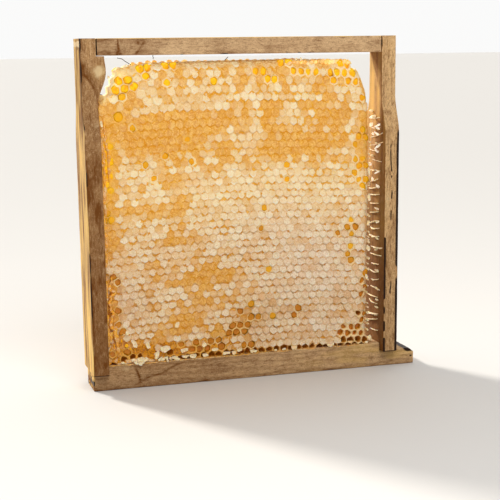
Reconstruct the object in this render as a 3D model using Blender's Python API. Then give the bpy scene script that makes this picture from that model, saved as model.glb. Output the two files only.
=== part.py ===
"""A wooden hive frame holding a full slab of honeycomb, standing on its lugged bar.

Metres, +Z up. X runs along the frame, Y through its depth with the shown side at -Y. The origin is
on the underside of the lugged bar, midway between the side bars and midway through the depth.
"""

import math

import bpy
import numpy as np
from mathutils import Vector
from mathutils.geometry import delaunay_2d_cdt

# Frame
HEIGHT = 0.232
WIDTH = 0.218
SIDE_THICK = 0.0106
WIDE_DEPTH = 0.037
NARROW_DEPTH = 0.022
NARROW_BACK_LEFT = 0.013
SHOULDER_LOW = 0.165
SHOULDER_HIGH = 0.193
THIN_BAR_THICK = 0.011
LUG_BAR_THICK = 0.017
LUG_BAR_DEPTH = 0.025
LUG_THICK = 0.0113
LUG_LENGTH = 0.0155
SAWN_END_INSET = 0.001
FILLET_REACH = 0.0060
JOINT_GAP = 0.0003
EDGE_WEAR = 0.0004

# Comb, in millimetres, because cell sizes are
CELL_PITCH = 5.27
ROW_PITCH = 4.75
HALF_THICK = 12.3
PIT_RADIUS = 2.35
PIT_DEPTH = 7.5
PIT_EDGE_ROOM = 4.7

INNER = WIDTH / 2 - SIDE_THICK
WOOD = (0.50, 0.33, 0.18, 1.0)
WAX = (0.83, 0.58, 0.27, 1.0)


def clear_scene():
    for obj in list(bpy.data.objects):
        bpy.data.objects.remove(obj, do_unlink=True)


def material(name, colour, roughness, metallic=0.0):
    mat = bpy.data.materials.new(name)
    mat.use_nodes = True
    shader = mat.node_tree.nodes["Principled BSDF"]
    shader.inputs["Base Color"].default_value = colour
    shader.inputs["Roughness"].default_value = roughness
    shader.inputs["Metallic"].default_value = metallic
    mat.diffuse_color = colour
    return mat


def add_object(name, points, faces, mat):
    mesh = bpy.data.meshes.new(name)
    mesh.from_pydata([tuple(map(float, p)) for p in points], [], [tuple(map(int, f)) for f in faces])
    mesh.materials.append(mat)
    mesh.validate()
    obj = bpy.data.objects.new(name, mesh)
    bpy.context.scene.collection.objects.link(obj)
    return obj


def prism(name, profile, axis, low, high, mat):
    """A closed prism: a profile counter-clockwise as seen from the +axis side, swept from low to high.

    axis "X" takes (y, z) profiles. axis "Y" takes (z, x) profiles, so that they too are right-handed.
    """
    count = len(profile)
    points = []
    for at in (low, high):
        for a, b in profile:
            points.append((at, a, b) if axis == "X" else (b, at, a))
    faces = [tuple(range(count - 1, -1, -1)), tuple(range(count, 2 * count))]
    for i in range(count):
        j = (i + 1) % count
        faces.append((i, j, count + j, count + i))
    return add_object(name, points, faces, mat)


def wear_edges(obj, width=EDGE_WEAR):
    bevel = obj.modifiers.new("worn edges", "BEVEL")
    bevel.width = width
    bevel.segments = 1
    bevel.limit_method = "ANGLE"
    bevel.angle_limit = math.radians(40)


def side_bar_profile(back_narrow):
    """The bar seen from its end side, (y, z): wide below, narrowed above a curved shoulder."""
    wide, narrow = WIDE_DEPTH / 2, NARROW_DEPTH / 2
    foot = LUG_THICK + JOINT_GAP
    steps = [0.0, 0.25, 0.5, 0.75, 1.0]
    rise = SHOULDER_HIGH - SHOULDER_LOW
    ease = [t * t * (3 - 2 * t) for t in steps]
    back = [(wide + (back_narrow - wide) * e, SHOULDER_LOW + rise * t) for t, e in zip(steps, ease)]
    front = [(-wide + (wide - narrow) * e, SHOULDER_LOW + rise * t) for t, e in zip(steps, ease)]
    return (
        [(-wide, foot), (wide, foot)]
        + back
        + [(back_narrow, HEIGHT), (-narrow, HEIGHT)]
        + front[::-1]
    )


def unite(obj, other):
    join = obj.modifiers.new("join", "BOOLEAN")
    join.operation = "UNION"
    join.solver = "EXACT"
    join.object = other
    other.hide_render = True
    other.display_type = "WIRE"


# Comb cells ------------------------------------------------------------------------------------


def hash01(a, b):
    """An even scatter of numbers from 0 to 1, one for each place."""
    return np.mod(np.abs(np.sin(a * 12.9898 + b * 78.233)) * 43758.5453, 1.0)


def lattice(pitch, row, reach):
    """Cell centres in straight rows around (0, 0), each second row moved by half a cell."""
    j, i = np.meshgrid(np.arange(-reach, reach + 1), np.arange(-reach, reach + 1), indexing="ij")
    return np.stack([(i + 0.5 * (j % 2)) * pitch, j * row], axis=-1).reshape(-1, 2)


def cell_centres():
    """Centres (x, z) in mm: slightly arched rows, and a patch of larger, turned cells upper left."""
    flat = lattice(CELL_PITCH, 1.0, 48)
    row = flat[:, 1]
    above = np.clip(row - 28, 0, None)
    stretch = np.where(above < 6, above**2 / 12, above - 3)
    x = flat[:, 0]
    z = 19.3 + ROW_PITCH * row + 0.7 * stretch - (x + 3) ** 2 / 2400
    main = np.stack([x, z], axis=1)
    turn = math.radians(9.0)
    big = lattice(6.0, 5.25, 16)
    big = big @ np.array([[math.cos(turn), math.sin(turn)], [-math.sin(turn), math.cos(turn)]])
    big = big + (-80.5, 200.5)

    def in_patch(p):
        return ((p[:, 0] + 96) / 40) ** 2 + ((p[:, 1] - 220) / 42) ** 2 < 1

    big = big[in_patch(big)]
    main = main[~in_patch(main)]
    gap = np.hypot(*(main[:, None, :] - big[None, :, :]).transpose(2, 0, 1)).min(axis=1)
    centres = np.concatenate([main[gap > 4.3], big])
    inside = (np.abs(centres[:, 0]) < 106) & (centres[:, 1] > 8) & (centres[:, 1] < 228)
    return centres[inside]


# (x, z, half width, half height, share of cells left open), in mm
OPEN_FRONT = [
    (-82, 205, 12, 11, 1.0),
    (-52, 212, 20, 5, 0.6),
    (22, 210, 25, 6, 0.8),
    (71, 205, 14, 10, 0.9),
    (83, 150, 7, 28, 0.7),
    (78, 100, 9, 12, 0.6),
    (84, 52, 8, 30, 0.75),
    (46, 19, 46, 5, 1.0),
    (3, 44, 15, 6, 0.35),
    (-94, 130, 5, 48, 0.6),
    (-88, 28, 12, 12, 0.6),
]
OPEN_BACK = [
    (-80, 206, 14, 9, 0.9),
    (70, 207, 18, 8, 0.8),
    (-10, 212, 40, 5, 0.6),
    (84, 110, 7, 70, 0.6),
    (40, 20, 52, 5, 0.9),
    (-92, 80, 6, 60, 0.5),
]
STRAY_OPEN = 0.012


def open_cells(centres, zones, shift):
    share = np.full(len(centres), STRAY_OPEN)
    for x, z, wide, high, amount in zones:
        near = ((centres[:, 0] - x) / wide) ** 2 + ((centres[:, 1] - z) / high) ** 2 < 1
        share = np.where(near, np.maximum(share, amount), share)
    return hash01(centres[:, 0] + shift, centres[:, 1]) < share


# Comb body -------------------------------------------------------------------------------------

# Outline seen from the front, (x, z) in mm, counter-clockwise from the lower left
COMB_OUTLINE = [
    (-98.1, 17.4), (89.2, 17.4), (90.2, 60), (90.8, 120), (91.0, 170), (89.6, 187), (86.6, 197),
    (83.4, 206), (77, 212.5), (66, 216), (44, 216.2), (34, 217.4), (24, 216.2), (-20, 215.8),
    (-60, 215.4), (-80, 214.4), (-88, 209), (-90.4, 203), (-93.6, 195), (-98.1, 188),
]


def along(outline, step):
    """Points about a step apart along a closed outline, its corners kept and the rest a little in."""
    found = []
    for (ax, az), (bx, bz) in zip(outline, outline[1:] + outline[:1]):
        length = math.hypot(bx - ax, bz - az)
        parts = max(1, round(length / step))
        for k in range(parts):
            x, z = ax + (bx - ax) * k / parts, az + (bz - az) * k / parts
            bite = (0.1 + 0.3 * hash01(x, z)) * (k > 0)
            found.append((x - bite * (bz - az) / length, z + bite * (bx - ax) / length))
    return np.array(found)


def edge_distance(points, outline):
    """How far each point lies from a closed outline, positive inside it."""
    a = np.array(outline, float)
    b = np.roll(a, -1, axis=0)
    way = b - a
    rel = points[:, None, :] - a
    part = np.clip((rel * way).sum(2) / (way**2).sum(1), 0, 1)
    far = np.hypot(*(rel - part[..., None] * way).transpose(2, 0, 1)).min(axis=1)
    crosses = (a[:, 1] > points[:, 1, None]) != (b[:, 1] > points[:, 1, None])
    height = np.where(way[:, 1] == 0, 1e-9, way[:, 1])
    at = a[:, 0] + (points[:, 1, None] - a[:, 1]) * way[:, 0] / height
    inside = (crosses & (points[:, 0, None] < at)).sum(axis=1) % 2 == 1
    return np.where(inside, far, -far)


def smooth(low, high, value):
    t = np.clip((value - low) / (high - low), 0, 1)
    return t * t * (3 - 2 * t)


def half_thickness(points):
    """Half the comb's thickness: full inside, rounded towards its edge, a little wavy."""
    free = np.maximum(smooth(60, 80, points[:, 0]), smooth(165, 190, points[:, 1]))
    radius = 4.5 + 3.0 * free
    inner = np.clip(edge_distance(points, COMB_OUTLINE) / radius, 0, 1)
    wave = 0.35 * np.sin(points[:, 0] / 23) * np.cos(points[:, 1] / 29 + 1)
    return (HALF_THICK + wave) * np.sqrt(np.clip(1 - (1 - inner) ** 2, 0, 1))


def comb_side(side, zones, shift, ring):
    """One face of the comb: (points, faces) in mm, its first points the outline ring at y = 0."""
    centres = cell_centres()
    centres = centres[edge_distance(centres, COMB_OUTLINE) > PIT_EDGE_ROOM]
    pits = centres[open_cells(centres, zones, shift)]
    turn = np.arange(6) * math.pi / 3 + math.pi / 6
    spokes = PIT_RADIUS * np.stack([np.cos(turn), np.sin(turn)], axis=1)
    rims = (pits[:, None, :] + spokes).reshape(-1, 2)
    step = 20.0
    grid = np.stack(np.meshgrid(np.arange(-90, 90, step), np.arange(28, 212, step)), axis=-1)
    inset = [ring]
    for depth in (1.0, 3.6, 7.4):
        way = np.roll(ring, -1, axis=0) - np.roll(ring, 1, axis=0)
        normal = np.stack([-way[:, 1], way[:, 0]], axis=1) / np.hypot(*way.T)[:, None]
        inset.append((ring + depth * normal)[:: 1 if depth < 3 else 2])
    loose = np.concatenate(inset[1:] + [grid.reshape(-1, 2)])
    room = edge_distance(loose, COMB_OUTLINE)
    gap = np.hypot(*(loose[:, None, :] - pits[None, :, :]).transpose(2, 0, 1)).min(axis=1)
    loose = loose[(room > 0.7) & (gap > PIT_RADIUS + 0.7)]
    flat = np.concatenate([ring, rims, loose])
    count = len(ring)
    edges = [(i, (i + 1) % count) for i in range(count)]
    first = count
    for k in range(len(pits)):
        edges += [(first + 6 * k + n, first + 6 * k + (n + 1) % 6) for n in range(6)]
    flat_in = [Vector((float(a), float(b))) for a, b in flat]
    made = delaunay_2d_cdt(flat_in, edges, [], 0, 1e-6)
    if len(made[0]) != len(flat):
        raise RuntimeError("the comb's outline and its pits cross")
    # The triangulation may reorder its points, so they are led back to the ones put in
    back = np.array([origin[0] for origin in made[3]])
    tri = back[np.array(made[2])]
    middle = flat[tri].mean(axis=1)
    keep = edge_distance(middle, ring) > 0
    near = np.hypot(*(middle[:, None, :] - pits[None, :, :]).transpose(2, 0, 1)).argmin(axis=1)
    own = (tri >= first) & (tri < first + len(rims)) & ((tri - first) // 6 == near[:, None])
    keep &= ~own.all(axis=1)
    tri = tri[keep]
    depth = half_thickness(flat)
    depth[:count] = 0
    floor = half_thickness(pits) - PIT_DEPTH
    bottom = pits[:, None, :] + spokes
    points = np.concatenate([
        np.stack([flat[:, 0], side * depth, flat[:, 1]], axis=1),
        np.stack([bottom[..., 0], side * np.repeat(floor[:, None], 6, 1), bottom[..., 1]], axis=-1).reshape(-1, 3),
    ])
    faces = [tuple(t) for t in tri]
    base = len(flat)
    for k in range(len(pits)):
        for n in range(6):
            a, b = first + 6 * k + n, first + 6 * k + (n + 1) % 6
            c, d = base + 6 * k + n, base + 6 * k + (n + 1) % 6
            faces += [(a, b, d), (a, d, c)]
        low = base + 6 * k
        faces += [(low, low + n, low + n + 1) for n in range(1, 5)]
    # Each face so far turns as seen from +Y's far side, which suits the front
    if side > 0:
        faces = [face[::-1] for face in faces]
    return points, faces


def build_comb(mat):
    ring = along(COMB_OUTLINE, 9.0)
    front, front_faces = comb_side(-1, OPEN_FRONT, 0.0, ring)
    back, back_faces = comb_side(1, OPEN_BACK, 31.7, ring)
    count, more = len(ring), len(front)
    moved = [tuple(i if i < count else i - count + more for i in face) for face in back_faces]
    points = np.concatenate([front, back[count:]]) / 1000
    return add_object("comb", points, front_faces + moved, mat)


# The frame -------------------------------------------------------------------------------------

clear_scene()

# Lugged bar: the thick one it stands on. One lug is left, and the other end is sawn off flush.
wood = material("lug_bar", WOOD, 0.65)
end, body = WIDTH / 2 + LUG_LENGTH, INNER - JOINT_GAP
lug_profile = [
    (0, -WIDTH / 2 + SAWN_END_INSET),
    (LUG_THICK, -WIDTH / 2 + SAWN_END_INSET),
    (LUG_THICK, -body),
    (LUG_BAR_THICK, -body),
    (LUG_BAR_THICK, body),
    (LUG_THICK, body),
    (LUG_THICK, end - 0.0035),
    (LUG_THICK - 0.0024, end),
    (0, end),
]
lug_bar = prism("lug_bar", lug_profile, "Y", -LUG_BAR_DEPTH / 2, LUG_BAR_DEPTH / 2, wood)
wear_edges(lug_bar)

# Side bars: wide below, so that neighbouring frames keep their distance, and narrow above
left_wood = material("side_bar_left", WOOD, 0.65)
left = prism("side_bar_left", side_bar_profile(NARROW_BACK_LEFT), "X", -WIDTH / 2, -INNER, left_wood)
under = HEIGHT - THIN_BAR_THICK - JOINT_GAP
fillet_profile = [
    (SHOULDER_HIGH - 0.004, -INNER - 0.003),
    (under, -INNER - 0.003),
    (under, -INNER + FILLET_REACH - 0.0008),
    (0.2115, -INNER + FILLET_REACH),
    (SHOULDER_HIGH - 0.004, -INNER + 0.0002),
]
fillet = prism("fillet", fillet_profile, "Y", -NARROW_DEPTH / 2 + 0.0002, NARROW_DEPTH / 2, left_wood)
unite(left, fillet)

right_wood = material("side_bar_right", WOOD, 0.65)
right = prism("side_bar_right", side_bar_profile(NARROW_DEPTH / 2), "X", INNER, WIDTH / 2, right_wood)
wear_edges(right)

# Thin bar: let in between the narrow ends of the side bars
thin_wood = material("thin_bar", WOOD, 0.65)
low, high = HEIGHT - THIN_BAR_THICK, HEIGHT
thin_profile = [(low, -body), (high, -body), (high, body), (low, body)]
thin = prism("thin_bar", thin_profile, "Y", -NARROW_DEPTH / 2, NARROW_DEPTH / 2, thin_wood)
wear_edges(thin)

# Comb: built on the lugged bar and the left side bar, free along its other edges
comb = build_comb(material("comb", WAX, 0.4))
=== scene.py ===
"""A wooden hive frame with a full slab of honeycomb, standing on its thick lugged bar."""

import math
from types import SimpleNamespace

import bpy
import numpy as np
from mathutils import Matrix, Vector
from mathutils.geometry import delaunay_2d_cdt


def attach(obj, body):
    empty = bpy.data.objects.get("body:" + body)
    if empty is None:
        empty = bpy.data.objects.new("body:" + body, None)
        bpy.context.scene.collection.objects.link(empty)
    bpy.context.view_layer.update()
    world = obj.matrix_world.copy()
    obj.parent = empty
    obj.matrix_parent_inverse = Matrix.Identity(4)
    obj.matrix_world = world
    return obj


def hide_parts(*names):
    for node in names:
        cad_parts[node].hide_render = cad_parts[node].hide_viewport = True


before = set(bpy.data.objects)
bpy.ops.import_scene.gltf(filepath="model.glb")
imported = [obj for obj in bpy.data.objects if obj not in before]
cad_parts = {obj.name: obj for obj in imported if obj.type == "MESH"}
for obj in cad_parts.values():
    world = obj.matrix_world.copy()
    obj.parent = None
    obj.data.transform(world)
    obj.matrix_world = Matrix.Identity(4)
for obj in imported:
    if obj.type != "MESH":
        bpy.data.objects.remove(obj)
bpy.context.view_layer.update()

# ---------------------------------------------------------------------------------------------
# Lugged bar. The thick bar of planed pine that the frame now stands on. One lug is left, its top
# corner black with propolis, and the other end is sawn off at the side bar. The side bars sit on
# the thinner ends and are nailed to the body between them.
# ---------------------------------------------------------------------------------------------

# In mm: half the length over the side bars, the side bars' inner face, and the frame's height
MM = 0.001
HALF_LENGTH = 109.0
INNER = 98.4
HEIGHT = 232.0


class Shade:
    """One output of a material's node. Arithmetic on it adds the Math nodes that work it out."""

    def __init__(self, finish, socket):
        self.finish, self.socket = finish, socket

    def maths(self, operation, first, second=0.0):
        return self.finish.node("ShaderNodeMath", {"operation": operation}, {0: first, 1: second})

    def __add__(self, other):
        return self.maths("ADD", self, other)

    def __sub__(self, other):
        return self.maths("SUBTRACT", self, other)

    def __rsub__(self, other):
        return self.maths("SUBTRACT", other, self)

    def __mul__(self, other):
        return self.maths("MULTIPLY", self, other)

    def __abs__(self):
        return self.maths("ABSOLUTE", self)

    def most(self, other):
        return self.maths("MAXIMUM", self, other)

    def least(self, other):
        return self.maths("MINIMUM", self, other)

    def between(self, low, high):
        """Eases from 0 at low to 1 at high."""
        return self.finish.node(
            "ShaderNodeMapRange",
            {"interpolation_type": "SMOOTHSTEP"},
            {"Value": self, "From Min": low, "From Max": high},
        )


class Finish:
    """A procedural material, put together node by node."""

    def __init__(self, name, owner=None):
        self.material = owner or bpy.data.materials.new(name)
        self.material.use_nodes = True
        self.tree = self.material.node_tree
        self.surface = self.tree.nodes["Background" if owner else "Principled BSDF"]

    def put(self, socket, value):
        if isinstance(value, Shade):
            self.tree.links.new(value.socket, socket)
        else:
            socket.default_value = value

    def node(self, kind, settings=(), sockets=(), out=0):
        """Adds a node: its settings first, then the values or links of its sockets. Gives one output."""
        made = self.tree.nodes.new(kind)
        for key, value in dict(settings).items():
            setattr(made, key, value)
        for key, value in dict(sockets).items():
            self.put(made.inputs[key], value)
        return Shade(self, made.outputs[out])

    def shader(self, **values):
        for key, value in values.items():
            self.put(self.surface.inputs[key.replace("_", " ")], value)

    def place(self, scale=(1, 1, 1)):
        """Object coordinates, stretched."""
        at = self.node("ShaderNodeTexCoord", out="Object")
        return self.node("ShaderNodeMapping", {}, {"Vector": at, "Scale": scale})

    def noise(self, place, scale, detail=3.0, rough=0.5, bend=0.0):
        sockets = {"Vector": place, "Scale": scale, "Detail": detail, "Roughness": rough}
        return self.node("ShaderNodeTexNoise", {}, sockets | {"Distortion": bend})

    def mix(self, amount, first, second):
        """The first colour turned into the second by amount, 0 to 1."""
        return self.node("ShaderNodeMix", {"data_type": "RGBA"}, {0: amount, 6: first, 7: second}, out=2)

    def layers(self, tone, layers):
        """The tone with each (amount, colour) laid over it in turn."""
        for amount, colour in layers:
            tone = self.mix(amount, tone, rgb(*colour) if isinstance(colour, tuple) else colour)
        return tone

    def painted(self, name):
        """A number painted on the mesh's points."""
        return self.node("ShaderNodeAttribute", {"attribute_name": name}, out="Fac")

    def bump(self, height, distance, strength=1.0):
        sockets = {"Height": height, "Distance": distance, "Strength": strength}
        return self.node("ShaderNodeBump", {}, sockets)


def rgb(red, green, blue):
    """A colour of a paint chart, 0 to 255, as the shader's linear numbers."""
    part = np.array([red, green, blue]) / 255
    return (*np.where(part < 0.04045, part / 12.92, ((part + 0.055) / 1.055) ** 2.4).tolist(), 1.0)


def value_noise(points, size, seed):
    """Smooth numbers from -1 to 1: each corner of a grid of cubes holds a hashed number, and a
    point takes the mix of its cube's eight corners, weighted by 3t^2 - 2t^3 along each axis."""
    at = np.asarray(points, float) / size
    low = np.floor(at).astype(np.int64)
    ease = at - low
    ease = ease * ease * (3 - 2 * ease)
    total = np.zeros(at.shape[:-1])
    for corner in range(8):
        step = np.array([corner & 1, corner >> 1 & 1, corner >> 2 & 1])
        key = ((low + step) * np.array([73856093, 19349663, 83492791])).sum(-1) + seed * 9737333
        key = (key ^ (key >> 13)) * 1274126177 & 0x7FFFFFFF
        key = (key ^ (key >> 15)) * 668265263 & 0x7FFFFFFF
        value = (key >> 8 & 0xFFFF) / 0x7FFF - 1
        total += value * np.where(step, ease, 1 - ease).prod(-1)
    return total


def smooth(low, high, value):
    """Eases from 0 at low to 1 at high."""
    part = np.clip((value - low) / (high - low), 0, 1)
    return part * part * (3 - 2 * part)


def spot(a, b, at_a, at_b, reach_a, reach_b):
    """A soft patch: exp(-2.5 r^2), where r is the distance over the patch's own reach."""
    return np.exp(-2.5 * (((a - at_a) / reach_a) ** 2 + ((b - at_b) / reach_b) ** 2))


def stacked(*parts):
    """Numbers side by side in a last axis, each spread to the shape that all of them need."""
    return np.stack(np.broadcast_arrays(*parts), -1)


def patches(rows, a, b):
    """The sum of soft patches, each given by its place, its two reaches and its amount."""
    return sum(amount * spot(a, b, *place_and_reach) for *place_and_reach, amount in rows)


def blotches(low, high, points, size, seed):
    """Noise with its middle tones hardened: 0 where it is under low, 1 over high."""
    return smooth(low, high, value_noise(points, size, seed))


def mesh_object(name, points, faces, finish, paint=()):
    """One mesh object from points in mm and an array of triangles or quads (-1 ends a triangle)."""
    mesh = bpy.data.meshes.new(name)
    faces = np.asarray(faces)
    sides = (faces >= 0).sum(1)
    corners = faces[faces >= 0]
    starts = np.concatenate([[0], np.cumsum(sides)[:-1]])
    mesh.vertices.add(len(points))
    mesh.vertices.foreach_set("co", (np.asarray(points) * MM).astype(np.float32).ravel())
    mesh.loops.add(len(corners))
    mesh.loops.foreach_set("vertex_index", corners.astype(np.int32))
    mesh.polygons.add(len(sides))
    mesh.polygons.foreach_set("loop_start", starts.astype(np.int32))
    mesh.update(calc_edges=True)
    mesh.polygons.foreach_set("use_smooth", np.ones(len(sides), bool))
    for key, values in dict(paint).items():
        layer = mesh.attributes.new(key, "FLOAT", "POINT")
        layer.data.foreach_set("value", np.asarray(values, np.float32).ravel())
    mesh.materials.append(finish.material)
    mesh.validate()
    piece = bpy.data.objects.new(name, mesh)
    bpy.context.scene.collection.objects.link(piece)
    return piece


def rounded_outline(count_a, count_b):
    """Once round a rectangle with rounded corners: (place on the core, -1 to 1, outward way)."""
    a, b = np.linspace(-1, 1, count_a), np.linspace(-1, 1, count_b)
    quarter = np.arange(1, 4) * math.pi / 8
    place, way = [], []
    for turn in range(4):
        count = a if turn % 2 == 0 else b
        c, s = (1, 0, -1, 0)[turn], (0, 1, 0, -1)[turn]
        flat = np.stack([count, np.full(len(count), -1.0)], 1)
        bend = np.stack([np.sin(quarter), -np.cos(quarter)], 1)
        turned = np.array([[c, s], [-s, c]])
        place += [flat @ turned, np.tile(np.array([[1.0, -1.0]]) @ turned, (3, 1))]
        way += [np.tile(np.array([[0.0, -1.0]]) @ turned, (len(count), 1)), bend @ turned]
    return np.concatenate(place), np.concatenate(way)


def with_arrises(along, width=0.35):
    """Stations along a bar with one more just inside each end, where the end's edge is eased."""
    return np.concatenate([along[:1], along[:1] + width, along[1:-1], along[-1:] - width, along[-1:]])


def planed_bar(name, spans, axis, finish, carve, corner, counts):
    """A bar as one closed skin: a rounded rectangle carried along an axis.

    At station s the point k is middle + core_k * (half - corner) + way_k * (corner - carve), with
    the spans' middles and halves at s. carve gives how deep each point is cut and how strongly it
    is stained (in places painted shade), lit gold by painted sunlight, waxed and smeared with
    propolis. axis "X" carries (y, z) outlines, axis "Z" carries (x, y) ones.
    """
    along, span_a, span_b = spans
    along = with_arrises(along)
    place, way = rounded_outline(*counts)
    low_a, high_a = span_a(along)
    low_b, high_b = span_b(along)
    ends = np.array([0.06, 0.3, 0.6, 0.9])
    size = np.concatenate([ends, np.ones(len(along)), ends[::-1]])
    size[4], size[-5] = 0.97, 0.97
    row = np.concatenate([np.zeros(4, int), np.arange(len(along)), np.full(4, len(along) - 1)])
    mid = np.stack([(low_a + high_a) / 2, (low_b + high_b) / 2], 1)[row][:, None]
    half = np.stack([(high_a - low_a) / 2, (high_b - low_b) / 2], 1)[row][:, None]
    core = mid + size[:, None, None] * (place * (half - corner) + way * corner)
    cross = np.broadcast_to(along[row][:, None, None], core.shape[:2] + (1,))
    order = [2, 0, 1] if axis == "X" else [0, 1, 2]
    flat = np.concatenate([core, cross], 2)[..., order]
    depth, stain, sun, wax, propolis = carve(flat, way)
    # stain holds stains and, in places, painted shade; sun holds painted sunlight
    paint = {"stain": np.clip(stain, 0, 1), "sun": sun, "wax": wax, "propolis": propolis}
    inward = -way * (depth * (size[:, None] == 1))[..., None]
    moved = np.concatenate([core + inward, cross], 2)[..., order]
    rows, around = core.shape[:2]
    index = np.arange(rows * around).reshape(rows, around)
    turn = np.roll(index, -1, axis=1)
    skin = np.stack([index[:-1], turn[:-1], turn[1:], index[1:]], -1).reshape(-1, 4)
    tip = rows * around
    caps = [stacked(tip, turn[0], index[0], -1), stacked(tip + 1, index[-1], turn[-1], -1)]
    points = np.concatenate([moved.reshape(-1, 3), moved[[0, -1]].mean(1)])
    faces = np.concatenate([skin] + caps)
    paint = {key: np.concatenate([v.ravel(), v[[0, -1]].mean(1)]) for key, v in paint.items()}
    return mesh_object(name, points, faces, finish, paint)


def pine(name, grain, light, dark, streak=1.0):
    """Weathered pine: broad tones, growth lines, fibres and short dark flecks along the grain, then
    what is painted on the bar: stain (brown, in places painted shade), propolis (near black), wax
    (cream) and sun (gold, painted sunlight)."""
    wood = Finish(name)

    def drawn(length, width, scale, detail, rough, bend=0.0):
        """Noise drawn out along the grain."""
        stretch = (length, width, width) if grain == "X" else (width, width, length)
        return wood.noise(wood.place(stretch), scale, detail, rough, bend)

    broad, lines = drawn(1, 12, 6.0, 3.0, 0.55, 0.4), drawn(1, 12, 28.0, 4.0, 0.6, 0.8)
    fibre, fleck = drawn(1.4, 38.4, 34.0, 3.0, 0.65), drawn(1, 3.4, 300.0, 3.0, 0.62, 0.3)
    cloud = drawn(1, 2, 62.0, 2.0, 0.5)
    mottle = wood.noise(wood.place(), 190.0, 4.0, 0.6)
    grit = wood.noise(wood.place(), 1500.0, 2.0, 0.6)
    uneven, worn = mottle * 0.7 + 0.65, fleck * 1.1 + 0.45
    cream = (wood.painted("wax") * (mottle * 2.2 - 0.1)).between(0.3, 0.9)
    black = (wood.painted("propolis") * (lines * 1.3 + 0.35)).between(0.35, 0.65)
    tone = wood.layers(wood.mix(broad.between(0.32, 0.68), dark, light), (
        (cloud.between(0.45, 0.72) * 0.4, (128, 88, 52)),
        (lines.between(0.56, 0.7) * (0.4 * streak), (120, 80, 46)),
        (fibre.between(0.55, 0.75) * (0.35 * streak), (134, 92, 54)),
        (fibre.between(0.5, 0.3) * (0.3 * streak), (222, 186, 138)),
        (fleck.between(0.52, 0.66) * (0.5 * streak), (112, 74, 42)),
        (fleck.between(0.46, 0.34) * (0.34 * streak), (232, 196, 148)),
        (mottle.between(0.5, 0.75) * 0.3, (146, 106, 72)),
        # Pale specks that are partly painted glints, and dark specks of grit
        (grit.between(0.54, 0.7) * 0.35, (236, 204, 160)),
        (grit.between(0.46, 0.3) * 0.4, (104, 68, 38)),
        ((wood.painted("stain") * uneven * worn).least(1.0), (110, 63, 17)),
        # Painted sunlight
        ((wood.painted("sun") * uneven * worn).least(1.0), (238, 196, 112)),
        (cream * 0.7, (230, 204, 158)),
        (black, (40, 22, 11)),
    ))
    height = fibre * 0.4 + lines * 0.4 + mottle * 0.3 + fleck * 0.5
    wood.shader(
        Base_Color=tone,
        Roughness=0.72 - black * 0.3 - cream * 0.2,
        Normal=wood.bump(height, 0.0006, 0.5),
        Specular_IOR_Level=0.15,
    )
    return wood


def lug_spans():
    """The bar's height falls from 17 to 11.3 mm past the side bars' inner faces, and the lug's top
    corner is worn away over its last 4 mm."""
    end = HALF_LENGTH + 15.5

    def across(x):
        return np.full(len(x), -12.5), np.full(len(x), 12.5)

    def upright(x):
        top = np.where(np.abs(x) <= INNER - 0.3, 17.0, 11.3)
        top = top - 2.4 * smooth(end - 3.6, end, x) - 0.25 * smooth(-105, -108, x)
        return np.zeros(len(x)), top

    step = INNER - 0.3
    left, right = np.linspace(-108, -step - 0.02, 12), np.linspace(step + 0.02, end, 34)
    return np.concatenate([left, np.linspace(-step, step, 240), right]), across, upright


def sawn_end(x, y, z):
    """Growth rings on the sawn end: bands of the distance from a pith below the bar."""
    ring = np.hypot(y - 3.0, z + 9.0) + 0.5 * value_noise(np.stack([x, y, z], -1), 2.5, 4)
    return smooth(-107.2, -107.9, x) * (0.75 + 0.6 * np.sin(2.4 * ring))


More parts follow.
